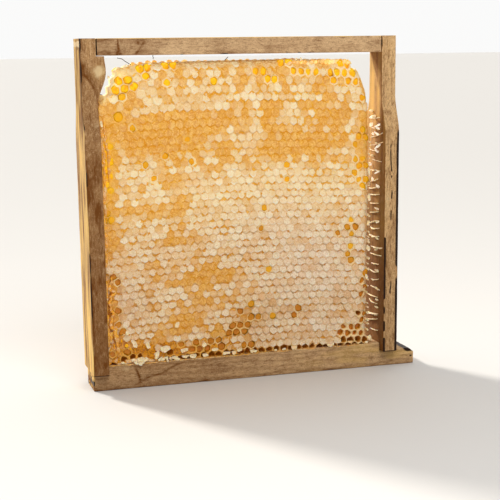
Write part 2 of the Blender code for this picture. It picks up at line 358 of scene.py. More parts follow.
def carve_lug_bar(points, way):
    """Cuts and paint: saw chatter, a swirl of grain at the left, wax run down the front, propolis on
    the lug, and painted sunlight on the front towards the right and on the sawn end."""
    x, y, z = np.moveaxis(points, -1, 0)
    front, top = -way[:, 0], way[:, 1]
    face, sawn = front > 0.3, x < -107.6
    chatter = 0.07 * value_noise(points * (0.25, 1, 1), 1.6, 3) + 0.05
    swirl_line = np.abs(x + 79.5 - 2.6 * np.cos((z - 3) / 5.0) - 0.12 * z)
    swirl = np.exp(-((swirl_line / 0.9) ** 2)) * smooth(1.5, 5, z) * smooth(16.5, 11, z)
    rise = np.abs(z - 1.5 - 0.36 * (x + 84) - 0.6 * np.sin(x / 3.0))
    rising = np.exp(-((rise / 0.7) ** 2)) * smooth(-84, -76, x) * smooth(-38, -52, x)
    chips = 0.5 * blotches(0.45, 0.8, points, 3.2, 5) * (np.abs(front * top) > 0.1)
    depth = np.clip(chatter, 0, 1) + chips + 0.12 * swirl * (front > 0.5)
    lug = smooth(109, 117, x)
    propolis = lug * smooth(7.6, 10.2, z + 1.0 * value_noise(points, 2.0, 6)) * smooth(113, 121, x)
    propolis += 0.8 * spot(x, z, 122.5, 5.5, 2.4, 1.6) * (front > 0) + 0.7 * spot(x, z, 91.5, 6.3, 1.0, 0.6)
    wax = spot(x, z, -85, 14, 10, 6) * face * 0.5 + lug * smooth(10, 11, z) * smooth(118, 112, x)
    wax = wax + 0.75 * (top > 0.5) * (np.abs(x) < 98) * blotches(-0.4, 0.4, points, 6, 8)
    stain = 0.85 * swirl + 0.6 * rising + 0.35 * smooth(3.5, 0, z)
    stain = stain + 0.25 * smooth(-60, -108, x) * smooth(12, 2, z)
    flow = z + 2.2 * value_noise(points * (0.3, 0, 1), 9.0, 9)
    flow = flow + 1.1 * value_noise(points * (0.4, 0, 1), 4.0, 10)
    stain = stain + 0.34 * np.exp(-(((flow % 4.4) - 2.2) / 0.8) ** 2) * face * smooth(-75, -60, x)
    stain = stain + 0.9 * sawn_end(x, y, z) + 0.2 * smooth(20, -60, x)
    # Painted sunlight: patches on the sawn end, and the front lighter towards the right
    bright = blotches(-0.1, 0.5, points, 2.4, 38)
    propolis = propolis + 0.8 * sawn * blotches(0.4, 0.6, points * (1, 0.4, 1), 2.2, 39)
    sun = 0.35 * smooth(10, 100, x) * face * blotches(-0.6, 0.6, points * (0.25, 1, 1), 3.0, 7)
    sun = sun + 0.8 * sawn * bright
    return depth, stain, sun, wax, propolis


lug_wood = pine("lug bar pine", "X", rgb(210, 171, 124), rgb(188, 147, 101))
lug_bar = planed_bar("lug_bar_wood", lug_spans(), "X", lug_wood, carve_lug_bar, 0.7, (30, 22))
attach(lug_bar, "root")
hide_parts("lug_bar")

# ---------------------------------------------------------------------------------------------
# Side bars. Wide below so that neighbouring frames keep their distance, narrowed by a curved
# shoulder above, and sawn from pine with the grain upright. Their feet end as blunt tines in front
# of the lugged bar. Propolis has darkened their outer edges.
# ---------------------------------------------------------------------------------------------

# Heights in mm between which the side bars narrow, and the height of their feet
SHOULDER = (165.0, 193.0)
FOOT = 11.6


def side_spans(left):
    """Depth falls from 37 to 22 mm over the shoulder. The left bar swells inwards under the thin
    bar by up to 6 mm."""

    def thick(z):
        swell = smooth(189, 211, z) * (6.0 - 0.8 * smooth(212, 220.7, z)) * (z < 220.75)
        if left:
            return np.full(len(z), -HALF_LENGTH), np.full(len(z), -INNER) + swell
        return np.full(len(z), INNER), np.full(len(z), HALF_LENGTH)

    def deep(z):
        part = smooth(*SHOULDER, z)
        return -18.5 + 7.5 * part, 18.5 - (5.5 if left else 7.5) * part

    return np.concatenate([np.linspace(FOOT, 220.7, 230), np.linspace(220.8, HEIGHT, 14)]), thick, deep


def carve_left(points, way):
    """Cuts and paint of the left bar: rough shoulder, brown painted shade over the shoulder under its
    narrow end with one dark curved line, painted sunlight in streaks down the outer face and
    propolis along the front corner."""
    x, y, z = np.moveaxis(points, -1, 0)
    front, outer = -way[:, 1], -way[:, 0]
    face, outside = front > 0.3, outer > 0.5
    depth = 0.06 + 0.06 * value_noise(points * (1, 1, 0.2), 1.4, 11)
    depth = depth + 0.5 * blotches(0.35, 0.75, points, 3.6, 12) * (np.abs(front * outer) > 0.1)
    across = (x + 109) / 10.6
    bow = 209.5 - 14 * across**1.7
    line = np.exp(-(((z - bow) / 0.8) ** 2)) * smooth(1.15, 0.95, across) * (front > 0.5)
    # Brown painted shade over the shoulder, above the curved line
    shoulder_shade = smooth(-0.5, 0.8, z - bow) * smooth(9.5, 5.5, z - bow + 6 * (across - 0.5))
    shoulder_shade = shoulder_shade * smooth(1.25, 0.7, across)
    shoulder_shade = shoulder_shade + 0.9 * spot(across, z, 0.12, 203, 0.22, 9) + 0.5 * spot(across, z, 1.0, 218, 0.5, 3)
    # A pale patch of painted sunlight on the front
    pale = spot(across, z, 1.2, 211, 0.55, 6)
    speck = blotches(0.3, 0.7, points * (1, 1, 0.35), 2.2, 13)
    edge = smooth(0.22, 0.05, across) * blotches(-0.2, 0.5, points * (1, 1, 0.3), 3.0, 14)
    stain = (0.8 * line + 0.7 * shoulder_shade) * face + 0.35 * speck * face
    stain = stain + 0.55 * spot(across, z, 0.45, 183, 0.12, 4) * face
    blotch = blotches(-0.1, 0.7, points * (1, 1, 0.4), 6.0, 18)
    # The front face darker towards the bottom
    soaked = smooth(225, 60, z) + 0.35 * smooth(110, 30, z)
    soaked = soaked + 0.12 * smooth(60, 100, z) * smooth(190, 150, z)
    stain = stain + (0.6 * edge + soaked * (0.5 + 0.6 * blotch) + 0.1 * blotch) * face
    streak = value_noise(points * (1, 0.35, 0.045), 1.0, 15)
    streak = streak + 0.5 * value_noise(points * (1, 1, 0.1), 1.3, 16)
    high_up = smooth(160, 195, z)
    streak = streak + 0.45 * value_noise(points * (1, 1, 0.12), 0.7, 41)
    # Painted sunlight in streaks down the outer face, and the pale patch on the front
    sun = outside * smooth(-0.9, 1.0, streak) * (0.8 - 0.2 * high_up + 0.15 * smooth(80, 30, z))
    sun = sun + 0.3 * pale * face
    stain = stain + outside * (0.6 + 0.25 * high_up) * smooth(0.5 + 0.5 * high_up, -1.1, streak)
    stain = stain + 0.68 * outside * high_up
    nails = patches([(-2, 226, 2.0, 2.2, 1), (9, 192, 1.4, 3.0, 1), (14, 170, 1.3, 3.5, 1)], y, z)
    propolis = 0.9 * outside * nails + 0.75 * edge * smooth(150, 185, z) * (front > 0.2)
    reach = np.maximum(x + HALF_LENGTH, y + 18.5 - 7.5 * smooth(*SHOULDER, z))
    corner = smooth(1.5, 0.5, reach) * blotches(-0.5, 0.2, points * (1, 1, 0.25), 2.5, 17)
    thicker = blotches(0.2, 0.6, points * (0, 0, 1), 11.0, 36)
    corner = corner * (0.35 + 0.65 * smooth(150, 190, z) + 0.4 * thicker)
    foot = smooth(FOOT + 1.3, FOOT, z) * face
    propolis = np.maximum(propolis + 0.9 * corner, foot)
    wax = face * (0.85 * spot(x, z, -97, 211, 8, 7.5) + 0.5 * spot(x, z, -101, 178, 5, 8))
    wax = wax + 1.4 * spot(x, z, -109, 228.5, 1.2, 3.0)
    depth = depth + 0.35 * line + 0.5 * nails * outside
    return depth, stain, sun, wax, propolis


def carve_right(points, way):
    """Cuts and paint of the right bar: two lines of drying cracks down the front, propolis along
    both front edges, a chip out of the top inner corner, and on the inner face painted shadow of
    the comb and the thin bar, with painted sunlight beyond it."""
    x, y, z = np.moveaxis(points, -1, 0)
    front, outer, inner = -way[:, 1], way[:, 0], -way[:, 0]
    face, outside, within = front > 0.3, outer > 0.5, inner > 0.5
    depth = 0.06 + 0.06 * value_noise(points * (1, 1, 0.2), 1.4, 21)
    depth = depth + 0.5 * blotches(0.35, 0.75, points, 3.6, 22) * (np.abs(front * outer) > 0.1)
    wander = 103.6 + 0.5 * np.sin(z / 9.0) + 0.3 * value_noise(points * (0, 0, 1), 5.0, 23)
    runs = smooth(133, 137, z) * smooth(161, 157, z) + smooth(104, 108, z) * smooth(130, 126, z)
    runs = runs + smooth(52, 55, z) * smooth(68, 64, z) + 0.5 * smooth(70, 80, z) * smooth(102, 98, z)
    crack = np.exp(-(((x - wander) / 0.45) ** 2)) * runs * (front > 0.5)
    crack = crack * blotches(-0.75, -0.1, points * (0, 0, 1), 3.0, 24)
    right_edge = smooth(106.2, 108.0, x) * smooth(176, 160, z) * (front > -0.2)
    patchy = value_noise(points * (1, 1, 0.4), 4.0, 25)
    fine = 0.5 * value_noise(points * (1, 1, 0.25), 1.2, 40)
    smeared = smooth(-0.4, 0.9, patchy + fine + 0.5 * value_noise(points * (1, 1, 0.3), 11.0, 37))
    away = smooth(-17.5, -14, y) * outside
    right_edge = 1.3 * right_edge * ((1 - away) * smooth(-0.8, 0.0, patchy) + 0.42 * away * smeared)
    left_edge = smooth(100.4, 99.0, x) * smooth(112, 96, z) * face
    left_edge = 1.3 * left_edge * blotches(-0.6, 0.1, points * (1, 1, 0.5), 3.0, 26)
    foot = smooth(FOOT + 1.5, FOOT, z) * face
    propolis = np.maximum.reduce([1.2 * crack, right_edge, left_edge, foot])
    speck = blotches(0.2, 0.7, points * (1, 1, 0.3), 2.0, 27) * face
    stain = 0.4 * speck + 0.35 * blotches(0.0, 0.8, points * (1, 1, 0.12), 2.4, 28) * within
    # Painted shadow on the inner face where the comb and the thin bar keep the low sun off, with some stain
    # over all of the face
    shade = -10 + 18 * smooth(190, 223, z) + 10 * smooth(178, 164, z) + 15 * smooth(142, 124, z)
    edge = y - shade + 1.2 * value_noise(points * (1, 1, 0.3), 3.0, 30)
    mottled = blotches(-0.5, 0.6, points * (1, 1, 0.4), 1.5, 19)
    shadow_and_stain = smooth(2.0, -1.5, edge) * (0.5 + 0.3 * smooth(-6, -15, y)) * (0.8 + 0.4 * mottled)
    shadow_and_stain = shadow_and_stain + 0.24 + 0.3 * smooth(128, 105, z)
    shadow_and_stain = shadow_and_stain + 0.45 * smooth(203, 217, z) * smooth(2.0, -1.5, edge)
    stain = stain * (1 - 0.6 * within) + within * shadow_and_stain
    stain = stain + 1.1 * away * smeared * smooth(176, 160, z)
    chip = spot(x, z, 98.4, 227.5, 1.3, 3.6) * (inner > 0.2) * (y < -4)
    depth = depth + 0.8 * crack + 1.2 * chip
    propolis = np.maximum(propolis, chip)
    wax = face * (0.8 * spot(x, z, 100, 230, 2.5, 1.5) + 0.5 * spot(x, z, 101, 120, 4, 30))
    grain = blotches(-0.6, 0.6, points * (1, 0.6, 0.05), 1.6, 29)
    # Painted sunlight on the inner face beyond the shadow's edge, and a little within the shadow
    dim = 0.2 * smooth(2.0, -1.5, edge) * (0.35 + 0.65 * smooth(60, 120, z)) * (0.4 + 0.8 * grain)
    sun = within * (smooth(-1.0, 3.0, edge) * smooth(90, 130, z) * (0.1 + 0.6 * grain) + dim)
    return depth, stain, sun, wax, propolis


for side, carve, light, dark, streak in (
    ("left", carve_left, rgb(186, 144, 96), rgb(160, 118, 74), 1.0),
    ("right", carve_right, rgb(220, 180, 126), rgb(196, 154, 104), 1.3),
):
    side_wood = pine(f"side bar pine {side}", "Z", light, dark, streak)
    spans = side_spans(side == "left")
    bar = planed_bar(f"side_bar_{side}_wood", spans, "Z", side_wood, carve, 0.6, (20, 40))
    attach(bar, "root")
    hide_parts(f"side_bar_{side}")

# ---------------------------------------------------------------------------------------------
# Thin bar. The frame's light bar, uppermost as it stands, let in between the side bars' narrow
# ends and nailed through them. Planed pine, with a dark wedge-shaped mark and a short curved check.
# ---------------------------------------------------------------------------------------------


def thin_spans():
    """22 mm wide and 11 mm high, from one side bar to the other."""

    def across(x):
        return np.full(len(x), -11.0), np.full(len(x), 11.0)

    def upright(x):
        return np.full(len(x), 221.0), np.full(len(x), HEIGHT)

    return np.linspace(-INNER + 0.3, INNER - 0.3, 240), across, upright


def carve_thin(points, way):
    """Cuts and paint: the wedge mark 16 mm from the left joint, the curved check beside it, two
    small checks under the edge, the splintered lower arris, and painted sunlight on the top."""
    x, y, z = np.moveaxis(points, -1, 0)
    front, top = -way[:, 0], way[:, 1]
    face = front > 0.3
    depth = 0.05 + 0.05 * value_noise(points * (0.2, 1, 1), 1.4, 31)
    ragged = (front > -0.2) * (top < -0.2) * blotches(0.0, 0.7, points * (0.5, 1, 1), 2.4, 32)
    depth = depth + 0.6 * ragged
    down = np.clip((231.5 - z) / 10.5, 0, 1)
    wedge = np.exp(-(((x + 84.2 - 0.6 * down) / (0.35 + 1.5 * down**2.2)) ** 2)) * smooth(232, 230, z)
    check = np.abs(x + 66.5 + 7.5 * down**1.6)
    check = np.exp(-((check / 0.7) ** 2)) * smooth(232, 229, z) * smooth(220.9, 223, z)
    nicks = [(-70.8, 229.5, 0.8, 2.5, 1), (36, 223.5, 0.8, 1.5, 0.6), (70, 225, 0.8, 1.5, 0.6)]
    mark = (0.85 * wedge + 0.55 * check + 0.5 * patches(nicks, x, z)) * face
    stain = mark + (0.5 * spot(x, z, -92, 222.5, 14, 3) + 0.32 * smooth(-60, -74, x)) * face
    stain = stain + 0.35 * blotches(0.25, 0.7, points * (0.3, 1, 1), 2.6, 33) * face
    propolis = 0.8 * smooth(222.0, 221.2, z) * blotches(0.0, 0.6, points, 3.0, 34) * (front > 0)
    propolis = propolis + 0.8 * smooth(-97.4, -98.0, x) * (front > 0)
    # Painted sunlight on the top face
    sun = (top > 0.3) * blotches(-0.9, 0.2, points * (0.2, 1, 1), 2.0, 35)
    wax = 0.4 * spot(x, z, -88, 228, 5, 3) * face
    depth = depth + 0.35 * mark
    return depth, stain, sun, wax, propolis


thin_wood = pine("thin bar pine", "X", rgb(214, 178, 134), rgb(184, 146, 106))
thin_bar = planed_bar("thin_bar_wood", thin_spans(), "X", thin_wood, carve_thin, 0.5, (26, 16))
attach(thin_bar, "root")
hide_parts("thin_bar")

# ---------------------------------------------------------------------------------------------
# Comb. Two layers of six-sided wax cells, back to back on one midrib, drawn out by the bees until
# they filled the frame. Most are sealed: dry caps are pale and domed, wet ones lie on the honey and
# look amber. Along the free edges, in a few places and above the bar, cells stand open.
# ---------------------------------------------------------------------------------------------

# In mm: the cells' spacing along a row, the rows' spacing, and over the comb's middle plane its
# faces, its midrib and the farthest that a cap may stand
CELL_PITCH = 5.27
ROW_PITCH = 4.75
HALF_THICK = 12.3
MIDRIB = 0.15
FARTHEST = 14.4

# Rings of vertices from a cell's rim to its centre
RINGS = 5
BLACK = (0.0, 0.0, 0.0, 1.0)

# Outline seen from the front, (x, z) in mm, counter-clockwise from the lower left
COMB_OUTLINE = [
    (-98.1, 17.4), (89.2, 17.4), (90.2, 60), (90.8, 120), (91.0, 170), (90.4, 187), (87.6, 197.5),
    (85.4, 203.2), (82.8, 208.4), (79.2, 212.6), (75.2, 216.2), (66, 216.4), (44, 216.2), (34, 217.4),
    (24, 216.2), (-20, 215.8), (-60, 215.4), (-80, 214.4), (-88, 209), (-90.4, 203), (-93.6, 195),
    (-98.1, 188),
]

# Where cells stand open: (x, z, half width, half height, share of cells)
OPEN_FRONT = [
    (-84, 205, 6, 7, 0.6), (18, 211, 30, 5, 0.5), (71, 206, 13, 8, 0.6), (84, 149, 6, 24, 0.75),
    (76, 100, 5, 9, 0.75), (87, 52, 5, 24, 0.8), (20, 17, 82, 4.2, 1.0), (78, 26, 12, 8, 0.8),
    (-46, 25, 42, 5.5, 0.6), (-14, 22, 24, 4.5, 0.5), (-8, 38, 13, 5, 0.5),
    (-95, 148, 5, 30, 0.5), (-95, 100, 4, 26, 0.4), (-91, 26, 8, 6, 0.5), (-45, 18, 20, 3.5, 1.0),
]
OPEN_SINGLES = [
    (-52, 203), (-21, 202), (-39, 167), (-36, 154), (-54, 157), (-62, 143.5), (31, 146), (29, 140.5),
    (11, 118), (8, 104.5), (14, 75.5), (0, 51), (-4, 50), (35, 47), (32, 43.5), (2, 42), (7, 42),
    (16, 42.5), (-5, 38), (-9, 36), (-13, 33.5), (38, 207), (14, 203), (20.5, 203), (48, 207),
    (61, 210), (69, 206), (74, 206), (62, 202), (77, 202), (84, 199), (82, 191.5), (67, 99),
    (77, 89), (71.5, 83.5), (78.5, 79), (80.5, 42), (83.5, 37), (85.5, 33.5), (78, 26.5),
    (-72, 210.5), (-67, 210.5), (-62.4, 212), (-51.2, 212), (-46.6, 212), (-75, 202), (-80.5, 200.5),
    (-82, 195.5), (-70.5, 152), (-86, 180), (-78, 207), (-84, 205), (-86, 199.5), (-91, 197),
    (-89, 20), (-82.5, 19.5), (-93.5, 77.5), (-90, 72), (-90, 53.5), (-89.5, 46),
    (-87, 40.5), (-77, 177),
]
OPEN_BACK = [
    (-80, 206, 14, 9, 0.9), (70, 207, 18, 8, 0.8), (-10, 212, 40, 5, 0.6), (84, 110, 7, 70, 0.6),
    (40, 20, 52, 5, 0.9), (-92, 80, 6, 60, 0.5),
]

# Where caps are wetter (+) or drier (-) than elsewhere: (x, z, reach across, reach upwards, amount)
WET_FRONT = [
    (-58, 170, 46, 22, 0.5), (-42, 178, 34, 12, 0.2), (42, 161, 30, 19, 0.5), (0, 182, 20, 11, 0.25),
    (12, 158, 11, 13, 0.3), (68, 186, 20, 20, 0.3), (-50, 138, 14, 14, 0.6), (-76, 121, 16, 9, 0.5),
    (-54, 120, 20, 8, 0.35), (-48, 101, 22, 8, 0.35),
    (-45, 113, 15, 17, 0.35), (-56, 80, 18, 10, 0.35), (-17, 73, 24, 9, 0.5), (-35, 60, 34, 36, 0.28),
    (-55, 42, 28, 20, 0.2), (-42, 36, 22, 14, 0.3), (-3, 45, 12, 9, 0.4), (-94, 130, 8, 62, 0.9),
    (-93, 58, 6, 34, 0.8), (-84, 25, 20, 11, 1.0), (-46, 23, 32, 8, 1.0), (-12, 34, 14, 7, 0.6),
    (22, 211, 34, 8, 0.4), (84, 148, 8, 34, 0.6), (75, 100, 10, 16, 0.5), (-90, 180, 14, 18, 0.5),
    (0, 166, 18, 9, -0.3), (45, 105, 60, 50, -0.25), (42, 28, 40, 16, -0.35), (-82, 62, 11, 26, -0.3),
    (82, 74, 14, 20, -0.2), (38, 180, 24, 6, -0.35), (-50, 187, 44, 4, -0.4), (-20, 193, 70, 5, -0.3),
    (-35, 209, 40, 6, 0.1), (76, 172, 7, 8, -0.4),
    (-74, 190, 20, 9, 0.3),
]
WET_BACK = [
    (-40, 180, 60, 26, 0.4), (50, 150, 40, 30, 0.4), (0, 40, 80, 20, 0.4), (85, 120, 10, 90, 0.6),
    (-94, 110, 8, 90, 0.8), (0, 110, 50, 40, -0.2), (-60, 90, 30, 20, 0.35),
]

# Where the caps are whitest and close up side by side: (x, z, reach across, reach upwards, amount)
WHITE = [
    (52, 75, 46, 44, 1.0), (-83, 60, 7, 28, 0.9), (20, 105, 40, 30, 0.45), (78, 100, 10, 26, 0.8),
    (52, 34, 34, 12, 0.7), (-45, 95, 20, 10, 0.2),
]

# Where cells were torn open and run with darker honey: (x, z, reach across, reach upwards, amount)
RICH = [
    (-96, 50, 7, 34, 0.9), (-84, 25, 20, 11, 1.5), (-48, 22.5, 48, 8.5, 1.8), (-6, 19, 40, 5, 1.2),
    (-6, 38, 20, 9, 0.8), (-3, 50, 10, 5, 0.6), (-97, 120, 5, 50, 0.35), (45, 17, 60, 4, 0.7),
]

# Where the wax is browner from travel and brood: (x, z, reach across, reach upwards, amount)
BROWN = [
    (18, 48, 20, 9, 0.9), (8, 30, 18, 15, 0.8), (72, 52, 20, 10, 0.75), (45, 44, 40, 8, 0.3),
    (45, 27, 30, 10, 0.35), (22, 65, 12, 12, 0.3),
    (86, 40, 12, 30, 0.6), (76, 180, 16, 16, 0.35), (40, 50, 60, 26, 0.35),
    # The first patch of this row makes the caps darker beside the left bar's lower half
    (-76, 58, 20, 28, 1.0), (8, 42, 26, 18, 0.7),
]

# Where the caps lie flat and smooth: (x, z, reach across, reach upwards, amount)
CALM = [(-85, 60, 10, 34, 0.8), (46, 26, 34, 16, 0.5), (-50, 207, 40, 12, 0.5)]


def lattice(pitch, row, reach):
    """Cell centres in straight rows around (0, 0), each second row moved by half a cell."""
    j, i = np.meshgrid(np.arange(-reach, reach + 1), np.arange(-reach, reach + 1), indexing="ij")
    return np.stack([(i + 0.5 * (j % 2)) * pitch, j * row], axis=-1).reshape(-1, 2)


def cell_centres():
    """Centres (x, z) in mm: slightly arched rows, and a patch of larger, turned cells upper left."""
    flat = lattice(CELL_PITCH, 1.0, 48)
    above = np.clip(flat[:, 1] - 28, 0, None)
    stretch = np.where(above < 6, above**2 / 12, above - 3)
    x = flat[:, 0]
    z = 19.3 + ROW_PITCH * flat[:, 1] + 0.7 * stretch - (x + 3) ** 2 / 2400
    main = np.stack([x, z], axis=1)
    turn = math.radians(9.0)
    big = lattice(6.0, 5.25, 16)
    big = big @ np.array([[math.cos(turn), math.sin(turn)], [-math.sin(turn), math.cos(turn)]])
    big = big + (-80.5, 200.5)

    def in_patch(p):
        return ((p[:, 0] + 96) / 40) ** 2 + ((p[:, 1] - 220) / 42) ** 2 < 1

    big, main = big[in_patch(big)], main[~in_patch(main)]
    gap = np.hypot(*(main[:, None, :] - big[None, :, :]).transpose(2, 0, 1)).min(axis=1)
    centres = np.concatenate([main[gap > 4.3], big])
    inside = (np.abs(centres[:, 0]) < 112) & (centres[:, 1] > 2) & (centres[:, 1] < 236)
    return centres[inside]


def hash01(a, b):
    """An even scatter of numbers from 0 to 1, one for each place."""
    return np.mod(np.abs(np.sin(a * 12.9898 + b * 78.233)) * 43758.5453, 1.0)


def open_cells(centres, zones, singles, shift):
    """Which cells stand open: a hashed number for each cell is under its zone's share, or the cell
    is the nearest one to a single opening."""
    share = np.zeros(len(centres))
    for x, z, wide, high, amount in zones:
        near = ((centres[:, 0] - x) / wide) ** 2 + ((centres[:, 1] - z) / high) ** 2 < 1
        share = np.where(near, np.maximum(share, amount), share)
    chosen = hash01(centres[:, 0] + shift, centres[:, 1]) < share
    if singles:
        far = centres[None, :, :] - np.array(singles)[:, None, :]
        chosen[np.hypot(far[..., 0], far[..., 1]).argmin(axis=1)] = True
    return chosen


def to_edge(points):
    """How far each point (x, z) lies inside the comb's outline, negative outside it, and the
    outline's nearest point."""
    a = np.array(COMB_OUTLINE, float)
    way = np.roll(a, -1, axis=0) - a
    rel = points[:, None, :] - a
    part = np.clip((rel * way).sum(2) / (way**2).sum(1), 0, 1)
    gap = np.hypot(*(rel - part[..., None] * way).transpose(2, 0, 1))
    best = gap.argmin(axis=1)
    each = np.arange(len(points))
    nearest = a[best] + part[each, best][:, None] * way[best]
    end = a + way
    crosses = (a[:, 1] > points[:, 1, None]) != (end[:, 1] > points[:, 1, None])
    height = np.where(way[:, 1] == 0, 1e-9, way[:, 1])
    at = a[:, 0] + (points[:, 1, None] - a[:, 1]) * way[:, 0] / height
    inside = (crosses & (points[:, 0, None] < at)).sum(axis=1) % 2 == 1
    return np.where(inside, gap[each, best], -gap[each, best]), nearest


def flat_noise(points, size, seed):
    """Smooth numbers from -1 to 1 over places (x, z)."""
    return value_noise(stacked(points[:, 0], points[:, 1], 0.37 * size), size, seed)


def half_thickness(points, seed):
    """Half the comb's thickness: full inside, rounded like a quarter circle towards its free edges,
    square where it meets wood, and a little wavy."""
    free = np.maximum(smooth(60, 80, points[:, 0]), smooth(165, 190, points[:, 1]))
    away = smooth(0, 14, np.minimum(points[:, 0] + 98.1, points[:, 1] - 17.4))
    radius = 1.6 + (2.9 + 3.0 * free) * away
    inner = np.clip((to_edge(points)[0] + 1.5 - 0.7 * away) / radius, 0.04, 1)
    wave = 0.35 * np.sin(points[:, 0] / 23) * np.cos(points[:, 1] / 29 + 1)
    wave = wave + 0.35 * flat_noise(points, 14, seed)
    return (HALF_THICK - 0.6 + wave) * np.sqrt(1 - (1 - inner) ** 2)


def cell_rings(centres, kept):
    """Each kept cell's corners in order. A corner is the middle of three neighbouring centres.

    Gives the corners, and for each place where a cell meets a corner: the cell, the corner and the
    place that follows it round the cell.
    """
    made = delaunay_2d_cdt([Vector(centre) for centre in centres.tolist()], [], [], 0, 1e-6)
    tri = np.array([origin[0] for origin in made[3]])[np.array(made[2])]
    corners = centres[tri].mean(axis=1)
    cell, at = tri.reshape(-1), np.repeat(np.arange(len(tri)), 3)
    wanted = kept[cell]
    cell, at = cell[wanted], at[wanted]
    way = corners[at] - centres[cell]
    order = np.lexsort((np.arctan2(way[:, 1], way[:, 0]), cell))
    cell, at = cell[order], at[order]
    first = np.concatenate([[True], cell[1:] != cell[:-1]])
    start = np.maximum.accumulate(np.where(first, np.arange(len(cell)), 0))
    after = np.where(np.roll(first, -1), start, np.arange(len(cell)) + 1)
    return corners, cell, at, after


def averaged(index, values, size):
    """The average of the values that fall on each index, 0 to size - 1."""
    return np.bincount(index, values, size) / np.maximum(np.bincount(index, minlength=size), 1)


def settle(centres, rounds):
    """Moves each centre to the middle of its corners, which evens out the seam between patches."""
    for _ in range(rounds):
        inner = (np.abs(centres[:, 0]) < 106) & (centres[:, 1] > 8) & (centres[:, 1] < 230)
        corners, cell, at, _ = cell_rings(centres, inner)
        middle = stacked(*(averaged(cell, corners[at, k], len(centres)) for k in (0, 1)))
        centres = np.where(inner[:, None], middle, centres)
    return centres


def held_back(points):
    """Points kept clear of the wood on the left and below, where u becomes (u + sqrt(u^2 + 0.6)) / 2.
    Elsewhere a point at d outside the outline is drawn in to r (1 - exp(-d / r)), so that the
    outermost cells still bulge. r is 1.2 mm, and 2.4 mm at the upper left."""
    x, z = points[:, 0] + 98.2, points[:, 1] - 17.1
    points = np.stack([(x + np.sqrt(x * x + 0.6)) / 2 - 98.2, (z + np.sqrt(z * z + 0.6)) / 2 + 16.7], 1)
    inside, nearest = to_edge(points)
    beyond = np.maximum(-inside, 1e-6)
    bulge = 1.2 + 1.2 * spot(points[:, 0], points[:, 1], -90, 205, 22, 20)
    share = bulge * (1 - np.exp(-beyond / bulge)) / beyond
    drawn = nearest + (points - nearest) * share[:, None]
    free = (points[:, 0] > -97) & (points[:, 1] > 18.5) & (inside < 0)
    return np.where(free[:, None], drawn, points)


def turned_out(faces, facing):
    """Faces in the order that points outwards, for the layer that faces -Y (-1) or +Y (1)."""
    if facing > 0:
        return faces
    return np.where(faces[:, 3:] < 0, faces[:, [1, 0, 2, 3]], faces[:, ::-1])


def honey_pools(name, facing, mine, own, after, edge, middle, top, values, finish):
    """A slightly hollow pool of honey in each full cell, closed underneath: an outer ring at the
    cell's top, an inner ring 0.22 mm below it, a centre 0.3 mm below it and a foot 1.6 mm below it.

    The rows of edge are the places where a cell meets a corner, own is the cell of each, mine says
    which belong to full cells, and after is the place that follows round the cell.
    """
    cells, group = np.unique(own[mine], return_inverse=True)
    turn = (np.cumsum(mine) - 1)[after[mine]]
    hubs = middle[own[mine]][:, None]
    outer_ring = hubs + 0.94 * (edge[mine] - hubs) * np.array([0.965, 1.03])[:, None]
    inner_ring = hubs + 0.5 * (edge[mine] - hubs)
    rim = np.repeat(top[own[mine]], 2)
    rings = [outer_ring.reshape(-1, 2), inner_ring.reshape(-1, 2)]
    flat = np.concatenate(rings + [middle[cells], middle[cells]])
    out = np.concatenate([rim, rim - 0.22, top[cells] - 0.3, top[cells] - 1.6])
    o = np.arange(len(rim)).reshape(-1, 2)
    i = o + o.size
    up, down = 2 * o.size + group, 2 * o.size + len(cells) + group
    faces = np.concatenate([
        stacked(o[:, 0], o[:, 1], i[:, 1], i[:, 0]), stacked(o[:, 1], o[turn, 0], i[turn, 0], i[:, 1]),
        stacked(i[:, 0], i[:, 1], up, -1), stacked(i[:, 1], i[turn, 0], up, -1),
        stacked(o[:, 1], o[:, 0], down, -1), stacked(o[turn, 0], o[:, 1], down, -1),
    ])
    points = stacked(flat[:, 0], facing * out, flat[:, 1])
    paint = {
        key: np.concatenate([np.repeat(value[own[mine]], 2)] * 2 + [value[cells]] * 2)
        for key, value in values.items()
    }
    return mesh_object(name, points, turned_out(faces, facing), finish, paint)


